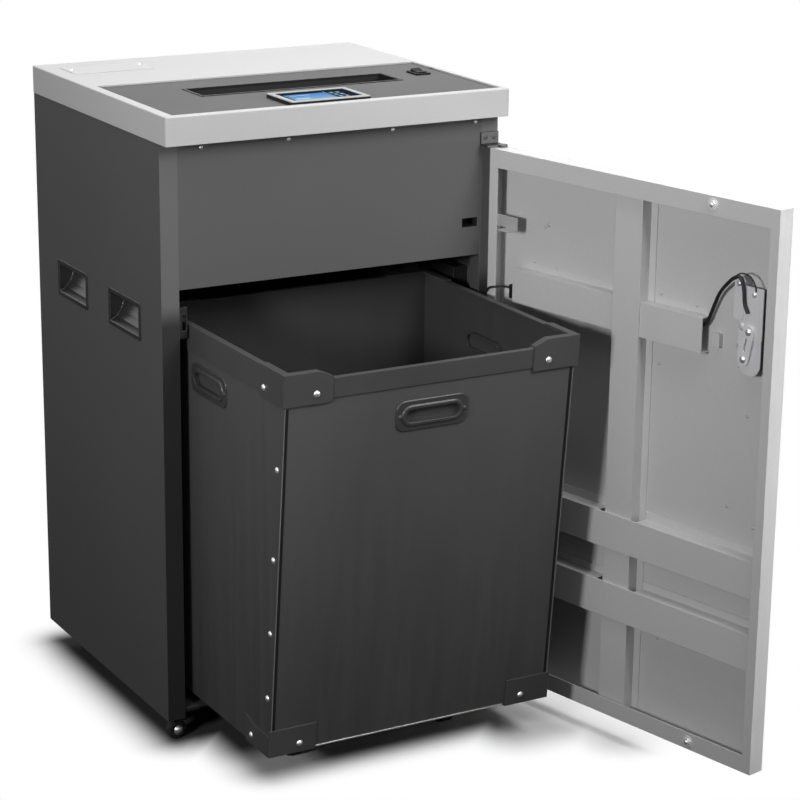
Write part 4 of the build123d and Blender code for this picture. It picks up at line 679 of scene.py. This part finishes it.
# %% Screws of the cabinet and nuts of the casters
SMALL_SCREW = (0.0028, 0.0014, 0.0030, 0.0004)
PANEL_FACE_Y = -0.222
PANEL_SCREW_LEVEL = 0.905
REAR_FACE_Y = 0.2495
LID_TOP = 0.957
LID_PLATE_THICKNESS = 0.0008
HINGE_PLATE_Y = -0.225
HINGE_SCREW_LEVEL = 0.881
CASTERS = {"front_left": (-0.244, -0.200), "front_right": (0.244, -0.200),
           "rear_left": (-0.206, 0.207), "rear_right": (0.206, 0.207)}
AXLE_LEVEL = 0.015
AXLE_TRAIL = 0.012
FORK_HALF = 0.0096

panel_places = [(Vector((x, PANEL_FACE_Y, PANEL_SCREW_LEVEL)), FRONT)
                for x in (-0.2126, -0.074, 0.097, 0.2395)]
fasteners("panel_screws", "cabinet", screw_tree, finish["bright"], panel_places,
          SMALL_SCREW)
rear_places = [(Vector((x, REAR_FACE_Y, z)), BACK)
               for x in (-0.24, 0.0, 0.24) for z in (0.075, 0.49, 0.885)]
fasteners("rear_screws", "cabinet", screw_tree, finish["black_steel"], rear_places,
          SMALL_SCREW)
plate_places = [(Vector((x, y, LID_TOP + LID_PLATE_THICKNESS)), UP)
                for x, y in ((-0.2445, 0.178), (-0.1275, 0.186))]
fasteners("lid_plate_screws", "cabinet", screw_tree, finish["bright"], plate_places,
          (0.0034, 0.0018, 0.0038, 0.0006))
hinge_places = [(Vector((x, HINGE_PLATE_Y, HINGE_SCREW_LEVEL)), FRONT) for x in (0.255, 0.270)]
fasteners("hinge_screws", "cabinet", screw_tree, paint["body"], hinge_places,
          (0.0034, 0.0020, 0.0038, 0.0006))
for corner, (x, y) in CASTERS.items():
    ends = [(Vector((x - AXLE_TRAIL, y + way.y * FORK_HALF, AXLE_LEVEL)), way) for way in (FRONT, BACK)]
    fasteners("caster_nuts_" + corner, "fork_" + corner, rivet_tree, finish["bright"], ends,
              (0.0062, 0.0030, 0.0074, 0.0012))

# %% [markdown]
# ## Places on the open door
# Door pieces are easiest to place on the shut door, by their distance from the hinge edge, their height
# above the inner skin and their level. One matrix then swings them open about the hinge pins. The first
# pieces are the bolts of the two buffers in the rims, and the marks that spot welds leave on the skin.

# %% From the shut door to the open one, with bolts and weld marks
HINGE = Vector((0.2744, -0.2431, 0.0))
DOOR_OPEN = Matrix.Rotation(math.radians(102.6), 4, "Z")
DOOR_EDGE_X = 0.280
DOOR_SKIN_Y = -0.2495
DOOR_RIM_Y = -0.2230
BOLT_REACH = 0.441
BOLT_LEVELS = (0.856, 0.053)
BOLT_HEIGHT = 0.0038
WELDS = ((0.074, 0.704), (0.120, 0.700), (0.330, 0.704), (0.398, 0.700), (0.470, 0.420), (0.520, 0.400),
         (0.350, 0.180), (0.460, 0.300), (0.095, 0.760), (0.101, 0.764), (0.330, 0.600), (0.500, 0.560))
swing = Matrix.Translation(HINGE) @ DOOR_OPEN @ Matrix.Translation(-HINGE)
door_inward = DOOR_OPEN @ BACK
door_across = DOOR_OPEN @ LEFT


def on_door(reach, level, off_skin=0.0):
    """A point by its distance from the hinge edge, its level, and its height off the inner skin."""
    return swing @ Vector((DOOR_EDGE_X - reach, DOOR_SKIN_Y + off_skin, level))


def door_places(*places):
    """Heads that face off the door's inner skin, each by its reach, level and height."""
    return [(on_door(*place), door_inward) for place in places]


rim_off = DOOR_RIM_Y - DOOR_SKIN_Y
fasteners("door_rim_bolts", "door", bolt_tree, finish["zinc"],
          door_places(*((BOLT_REACH, level, rim_off) for level in BOLT_LEVELS)),
          (0.0062, BOLT_HEIGHT, 0.0088, 0.0024))
fasteners("door_bolt_ends", "door", rivet_tree, finish["bright"],
          door_places(*((BOLT_REACH, level, rim_off + BOLT_HEIGHT) for level in BOLT_LEVELS)),
          (0.0035, 0.0016, 0.0036, 0.0004))
fasteners("door_weld_marks", "door", rivet_tree, paint["door"], door_places(*WELDS),
          (0.0024, 0.0009, 0.0027, 0.0002))

# %% [markdown]
# ## Flat hardware
# Plates and straps are outlines with a thickness and a soft edge. A rounded rectangle is four quarter
# circles; the slab helper lifts any outline, bevels it and sets it in place by a matrix.

# %% Slabs from outlines
def rounded_outline(width, height, radius, steps=5):
    """The corners of a rectangle as quarter circles, anticlockwise."""
    points = []
    for corner in range(4):
        middle_x = (width / 2 - radius) * (1 if corner in (0, 3) else -1)
        middle_y = (height / 2 - radius) * (1 if corner in (0, 1) else -1)
        for step in range(steps + 1):
            angle = math.pi / 2 * (corner + step / steps)
            points.append((middle_x + radius * math.cos(angle), middle_y + radius * math.sin(angle)))
    return points


def strip_outline(half_width, length):
    """A strip that runs up from the origin."""
    return [(-half_width, 0.0), (half_width, 0.0), (half_width, length), (-half_width, length)]


def slab(name, body, material, outline, thick, place, soft=0.0003):
    """A flat piece with a thickness and bevelled rims, set in place."""
    shape = bmesh.new()
    face = shape.faces.new([shape.verts.new((x, y, 0.0)) for x, y in outline])
    lifted = bmesh.ops.extrude_face_region(shape, geom=[face])
    upper = [item for item in lifted["geom"] if isinstance(item, bmesh.types.BMVert)]
    bmesh.ops.translate(shape, vec=(0, 0, thick), verts=upper)
    bmesh.ops.recalc_face_normals(shape, faces=shape.faces)
    if soft:
        rims = [edge for edge in shape.edges if abs(edge.verts[0].co.z - edge.verts[1].co.z) < 1e-9]
        bmesh.ops.bevel(shape, geom=rims, offset=soft, segments=2, profile=0.5, affect="EDGES")
    shape.transform(place)
    bmesh.ops.recalc_face_normals(shape, faces=shape.faces)
    mesh = bpy.data.meshes.new(name)
    shape.to_mesh(mesh)
    shape.free()
    mesh.materials.append(material)
    piece = bpy.data.objects.new(name, mesh)
    bpy.context.scene.collection.objects.link(piece)
    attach(piece, body)
    print(name, len(mesh.polygons), "faces")
    return piece


def facing(origin, across, normal):
    """A matrix that lays an outline at a point, with its x axis and its normal given."""
    normal = normal.normalized()
    across = across.normalized()
    return Matrix.Translation(origin) @ Matrix((across, normal.cross(across), normal)).transposed().to_4x4()


slab("lid_plate", "cabinet", paint["plate"], rounded_outline(0.132, 0.065, 0.003),
     LID_PLATE_THICKNESS, facing(Vector((-0.186, 0.1745, LID_TOP)), RIGHT, UP))
slab("bin_foot_strip", "bin", finish["bright"], strip_outline(0.157, 0.0022), 0.0010,
     facing(on_bin_front(-0.002, BIN_BOTTOM + 0.0005), RIGHT, bin_front_way), 0.0002)

# %% [markdown]
# Each hand hole of the bin is closed, so that no chips fall out: a thin black back sits in the hole's sleeve.

# %% Backs of the bin's hand holes
BACK_DEPTH = 0.0055
BACK_THICKNESS = 0.0012
back_outline = rounded_outline(0.0900, 0.0220, 0.0108)
back_places = {
    "front": facing(on_bin_front(0.0, GRIP_FRONT_LEVEL, -BACK_DEPTH), RIGHT, bin_front_way),
    "left": facing(Vector((BACK_DEPTH - BIN_SIDE, GRIP_Y, GRIP_SIDE_LEVEL)), FRONT, LEFT),
    "right": facing(Vector((BIN_SIDE - BACK_DEPTH, GRIP_Y, GRIP_SIDE_LEVEL)), BACK, RIGHT),
}
for word, place in back_places.items():
    slab("bin_grip_back_" + word, "bin", finish["rim"], back_outline, BACK_THICKNESS, place,
         0.0002)

# %% [markdown]
# The bin's boards meet at the front corners in an open joint: a dark gap on the front board, and beside it
# the pale cut edge of the side board. Two thin strips at each corner draw that joint between the caps.

# %% Corner joints of the bin
JOINT_LOW = 0.106
JOINT_HIGH = 0.600
# Each row: name, slot, finish, distance from the middle, half width, thickness.
JOINT_STRIPS = (("gap", "black_plastic", finish["throat"], 0.2272, 0.0020, 0.0004),
                ("edge", "bin_board", finish["edge"], 0.2308, 0.0005, 0.0006))
up_front = Vector((0, -BIN_LEAN, 1)).normalized()
joint_length = (JOINT_HIGH - JOINT_LOW) / up_front.z
for side, word in ((-1, "left"), (1, "right")):
    for part, slot, material, x, half_width, thick in JOINT_STRIPS:
        slab("bin_joint_" + part + "_" + word, "bin", material, strip_outline(half_width, joint_length),
             thick, facing(on_bin_front(side * x, JOINT_LOW), RIGHT, bin_front_way), 0)

# %% [markdown]
# ## The lock
# On the real door the lock is a stack of plated sheets over a black case, held by screws and round-headed
# rivets. The CAD gives the sheets and the slotted lever. The heads, a boss and a small stop beside them are
# laid on here, each at its height above the door's skin. So are the plug and the connector that end the short
# lead at the hinge.

# %% Heads on the lock, and blocks for the leads
FLANGE_TOP = 0.0015
PLATE_TOP = 0.0178
STRAP_TOP = 0.0193
LEVER_TOP = 0.0221
fasteners("lock_screws", "door", screw_tree, finish["bright"],
          door_places((0.4885, 0.7525, STRAP_TOP), (0.5165, 0.7415, STRAP_TOP),
                      (0.4785, 0.6580, FLANGE_TOP)),
          (0.0036, 0.0018, 0.0040, 0.0006))
fasteners("lock_boss", "door", rivet_tree, finish["zinc"],
          door_places((0.4965, 0.6925, PLATE_TOP)), (0.0050, 0.0014, 0.0056, 0.0006))
fasteners("lever_rivets", "lever", rivet_tree, finish["bright"],
          door_places((0.5112, 0.6875, LEVER_TOP), (0.5034, 0.6473, LEVER_TOP)),
          (0.0040, 0.0020, 0.0050, 0.0008))
slab("lock_lead_stop", "door", paint["door"], rounded_outline(0.012, 0.020, 0.001), 0.008,
     facing(on_door(0.442, 0.659), door_across, door_inward))
slab("door_lead_plug", "door", finish["nylon"], rounded_outline(0.009, 0.009, 0.003), 0.010,
     facing(on_door(0.027, 0.6505), door_across, door_inward), 0.0008)
slab("door_lead_connector", "door", finish["throat"], rounded_outline(0.012, 0.021, 0.001),
     0.013, facing(on_door(0.039, 0.6515), door_across, door_inward), 0.0006)

# %% [markdown]
# ## Leads
# A black lead leaves the open end of the cable cover, climbs over the strap and comes down on the lock. A
# thinner wire arches behind it, and a short lead crosses the hinge rim to its connector at the other cover.
# Each is a NURBS curve with a round bevel. A spline through the route keeps the curve on the route's points.

# %% Leads on NURBS curves
def through(points, steps=6):
    """Points on a smooth curve that passes through all the given ones."""
    ends = [2 * points[0] - points[1], *points, 2 * points[-1] - points[-2]]
    line = [points[0]]
    for a, b, c, d in zip(ends, ends[1:], ends[2:], ends[3:]):
        for step in range(1, steps + 1):
            t = step / steps
            line.append(0.5 * (2 * b + (c - a) * t + (2 * a - 5 * b + 4 * c - d) * t * t
                               + (3 * b - a - 3 * c + d) * t * t * t))
    return line


def lead(name, route, diameter, material):
    """A lead on the door, by its distances from the hinge edge, levels and heights off the skin in mm."""
    line = through([on_door(reach / 1000, level / 1000, off / 1000) for reach, level, off in route])
    curve = bpy.data.curves.new(name, "CURVE")
    curve.dimensions = "3D"
    spline = curve.splines.new("NURBS")
    spline.points.add(len(line) - 1)
    for point, place in zip(spline.points, line):
        point.co = (*place, 1.0)
    spline.order_u = 3
    spline.use_endpoint_u = True
    spline.resolution_u = 3
    curve.bevel_depth = diameter / 2
    curve.bevel_resolution = 5
    curve.use_fill_caps = True
    curve.materials.append(material)
    piece = bpy.data.objects.new(name, curve)
    bpy.context.scene.collection.objects.link(piece)
    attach(piece, "door")
    length = sum((a - b).length for a, b in zip(line, line[1:]))
    print(name, "length", round(length, 4))
    return piece


LOCK_LEAD = ((412, 672, 9), (426, 684, 9), (438, 710, 10), (450.5, 732, 13), (470, 751, 18.5),
             (483.5, 760.5, 22.3), (492.5, 762, 22.6), (499.5, 748, 22.4), (502.5, 726.5, 22.3),
             (509, 714, 22.3))
LOCK_WIRE = ((478, 755, 20.6), (487, 765, 20.6), (499, 768, 20.6), (511, 764, 20.6), (518.5, 754, 20.6),
             (520, 746, 20.6))
HINGE_LEAD = ((1.5, 648, 29), (5, 653, 29.2), (11, 656, 29.4), (15.8, 657, 27.5), (19.5, 657.3, 20),
              (25, 657, 13), (34, 655, 8))
lock_lead = lead("lock_lead", LOCK_LEAD, 0.0052, finish["lead"])
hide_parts("lock_cable")
lead("lock_wire", LOCK_WIRE, 0.0022, finish["lead"])
lead("hinge_lead", HINGE_LEAD, 0.0036, finish["lead"])

# %% [markdown]
# ## Floor
# The photograph is a studio cut-out: white ground and a soft shadow near the feet. So the floor is lit and
# shaded only close to the machine, and a little way out it turns to plain white, for the rays that look at
# it. Close to the cabinet and under the bin its colour also darkens: a painted contact shadow. Light that
# bounces sees a darker floor, as in a studio where the feet stand in their own shade. The distance from a few
# rectangles round the feet steers all of these.

# %% Floor with a white surround
FLOOR_SIZE = 40.0
SHADOW_REACH = 0.092
PAINTED_CONTACT_SHADE_REACH = 0.07
BOUNCE_REACH = (0.1, 1.6)
PAINTED_SHADOW_AND_FLOOR_SHADES = (0.10, 0.92)
BOUNCE_SHADES = (0.02, 0.10)
MATT = {"Roughness": 0.9, "Specular_IOR_Level": 0.0}
FEET = {"cabinet": (-0.258, 0.258, -0.206, 0.236), "bin": (-0.182, 0.190, -0.365, -0.108),
        "door": (0.20, 0.355, -0.44, -0.20), "door_foot": (0.335, 0.385, -0.52, -0.44),
        "under_bin": (-0.22, 0.22, -0.275, -0.108)}

floor_mesh = bpy.data.meshes.new("floor")
half = FLOOR_SIZE / 2
floor_corners = [(-half, -half, 0), (half, -half, 0), (half, half, 0), (-half, half, 0)]
floor_mesh.from_pydata(floor_corners, [], [(0, 1, 2, 3)])
floor = bpy.data.objects.new("floor", floor_mesh)
bpy.context.scene.collection.objects.link(floor)

ground = Finish("pale_floor")
ground_x, ground_y, _ = ground.axes()


def outside(value, low, high):
    """How far a coordinate lies outside a span."""
    return (low - value).math("MAXIMUM", 0.0) + (value - high).math("MAXIMUM", 0.0)


def nearest(*names):
    """Distance on the floor from the nearest of some rectangles."""
    least = None
    for x_low, x_high, y_low, y_high in (FEET[name] for name in names):
        dx = outside(ground_x, x_low, x_high)
        dy = outside(ground_y, y_low, y_high)
        away = (dx * dx + dy * dy).math("POWER", 0.5)
        least = least.math("MINIMUM", away) if least else away
    return least


def floor_shader(kind, **inputs):
    """A further shader of the floor, with its sockets fed."""
    made = ground.tree.nodes.new(kind)
    for key, value in inputs.items():
        ground.feed(made.inputs[key.replace("_", " ")], value)
    return made.outputs[0]


def either(share, first, second):
    """Two shaders mixed by a share."""
    made = ground.tree.nodes.new("ShaderNodeMixShader")
    for socket, value in zip(made.inputs, (share.socket, first, second)):
        ground.tree.links.new(value, socket)
    return made.outputs[0]


near = nearest("cabinet", "bin", "door", "door_foot")
# Painted contact shadow: the floor's colour darkens close to the cabinet and under the bin.
painted_contact_shadow = ground.ranged(nearest("cabinet", "under_bin"), 0.0, PAINTED_CONTACT_SHADE_REACH)
ground.surface(Base_Color=ground.mixed(painted_contact_shadow, *map(grey, PAINTED_SHADOW_AND_FLOOR_SHADES)), **MATT)
bounce = ground.mixed(ground.ranged(near, *BOUNCE_REACH), *map(grey, BOUNCE_SHADES))
unseen = floor_shader("ShaderNodeBsdfPrincipled", Base_Color=bounce, **MATT)
white = floor_shader("ShaderNodeEmission")
seen = either(ground.ranged(near, 0.0, SHADOW_REACH), ground.shader.outputs[0], white)
camera_ray = ground.node("ShaderNodeLightPath", out="Is Camera Ray")
ground.tree.links.new(either(camera_ray, unseen, seen), ground.output.inputs[0])
floor_mesh.materials.append(ground.material)
print("floor", FLOOR_SIZE, "metres wide, shaded within", SHADOW_REACH)

# %% [markdown]
# ## White sky
# Rays that look at the sky, straight or in a reflection, see white. Diffuse light gets only a little of it,
# so that the lamps shape the machine.

# %% Sky
AMBIENT = 0.06
world = bpy.data.worlds.new("studio")
bpy.context.scene.world = world
world.use_nodes = True
sky_nodes, sky_links = world.node_tree.nodes, world.node_tree.links
path = sky_nodes.new("ShaderNodeLightPath")
looking = path.outputs["Is Camera Ray"]
for ray in ("Is Glossy Ray", "Is Transmission Ray"):
    larger = sky_nodes.new("ShaderNodeMath")
    larger.operation = "MAXIMUM"
    sky_links.new(looking, larger.inputs[0])
    sky_links.new(path.outputs[ray], larger.inputs[1])
    looking = larger.outputs[0]
strength = sky_nodes.new("ShaderNodeMapRange")
strength.inputs["To Min"].default_value = AMBIENT
strength.inputs["To Max"].default_value = 1.0
sky_links.new(looking, strength.inputs["Value"])
sky = sky_nodes["Background"]
sky.inputs["Color"].default_value = (1, 1, 1, 1)
sky_links.new(strength.outputs[0], sky.inputs["Strength"])
print("sky", AMBIENT, "for diffuse light")

# %% [markdown]
# ## Lamps
# A softbox on the left, with a grid that lets it fade towards the floor, throws the bin's shadow on the door.
# A larger one at the front right stands in the plane of the door, so it lights the lid, the panel and the bin
# and leaves the door's inside alone. A tall strip brightens the door's free edge, and two suns with wide
# angles light the lid and the edges from above and behind. A softbox's level is the light that its aim gets,
# so the power follows from the distance and from how far the grid turns away.

# %% Softboxes, strip and suns
DOOR_FREE_EDGE = Vector((0.397, -0.785, 0.33))
BIN_FAR_CORNER = Vector((0.232, -0.522, 0.60))
UPPER_FRONT = Vector((0.0, -0.25, 0.90))
ABOVE_LID = Vector((0.1, -0.3, 1.6))
OPEN_ANGLE = 180


def lamp(name, kind, towards, energy, **settings):
    """A lamp that shines against a direction."""
    light = bpy.data.lights.new(name, kind)
    light.energy = energy
    for key, value in settings.items():
        setattr(light, key, value)
    piece = bpy.data.objects.new(name, light)
    piece.rotation_euler = towards.to_track_quat("Z", "Y").to_euler()
    bpy.context.scene.collection.objects.link(piece)
    return piece


def softbox(name, aim, towards, distance, level, face=None, spread=OPEN_ANGLE, **settings):
    """A lamp that gives its aim a level of light; a grid lets it fade away from where it faces."""
    place = aim + towards * distance
    axis = place - face if face else towards
    share = 1.0
    if spread < OPEN_ANGLE:
        half_angle = math.radians(spread) / 2
        share = (math.tan(half_angle) - half_angle) / (math.tan(half_angle) - math.tan(axis.angle(towards)))
    piece = lamp(name, "AREA", axis, level * share * math.pi * distance ** 2, **settings)
    piece.data.spread = math.radians(spread)
    piece.location = place
    return piece


softbox("left_softbox", BIN_FAR_CORNER, direction(-67, 14), 3.2, 1.45, ABOVE_LID, 90, size=0.45)
softbox("front_softbox", UPPER_FRONT, direction(25, 32), 1.8, 2.2, size=0.80)
softbox("strip_light", DOOR_FREE_EDGE, direction(62, 3), 1.4, 2.5, spread=50, shape="RECTANGLE", size=0.15,
        size_y=0.9)
lamp("top_light", "SUN", direction(20, 82), 1.35, angle=math.radians(60))
lamp("back_light", "SUN", direction(150, 35), 0.9, angle=math.radians(20))
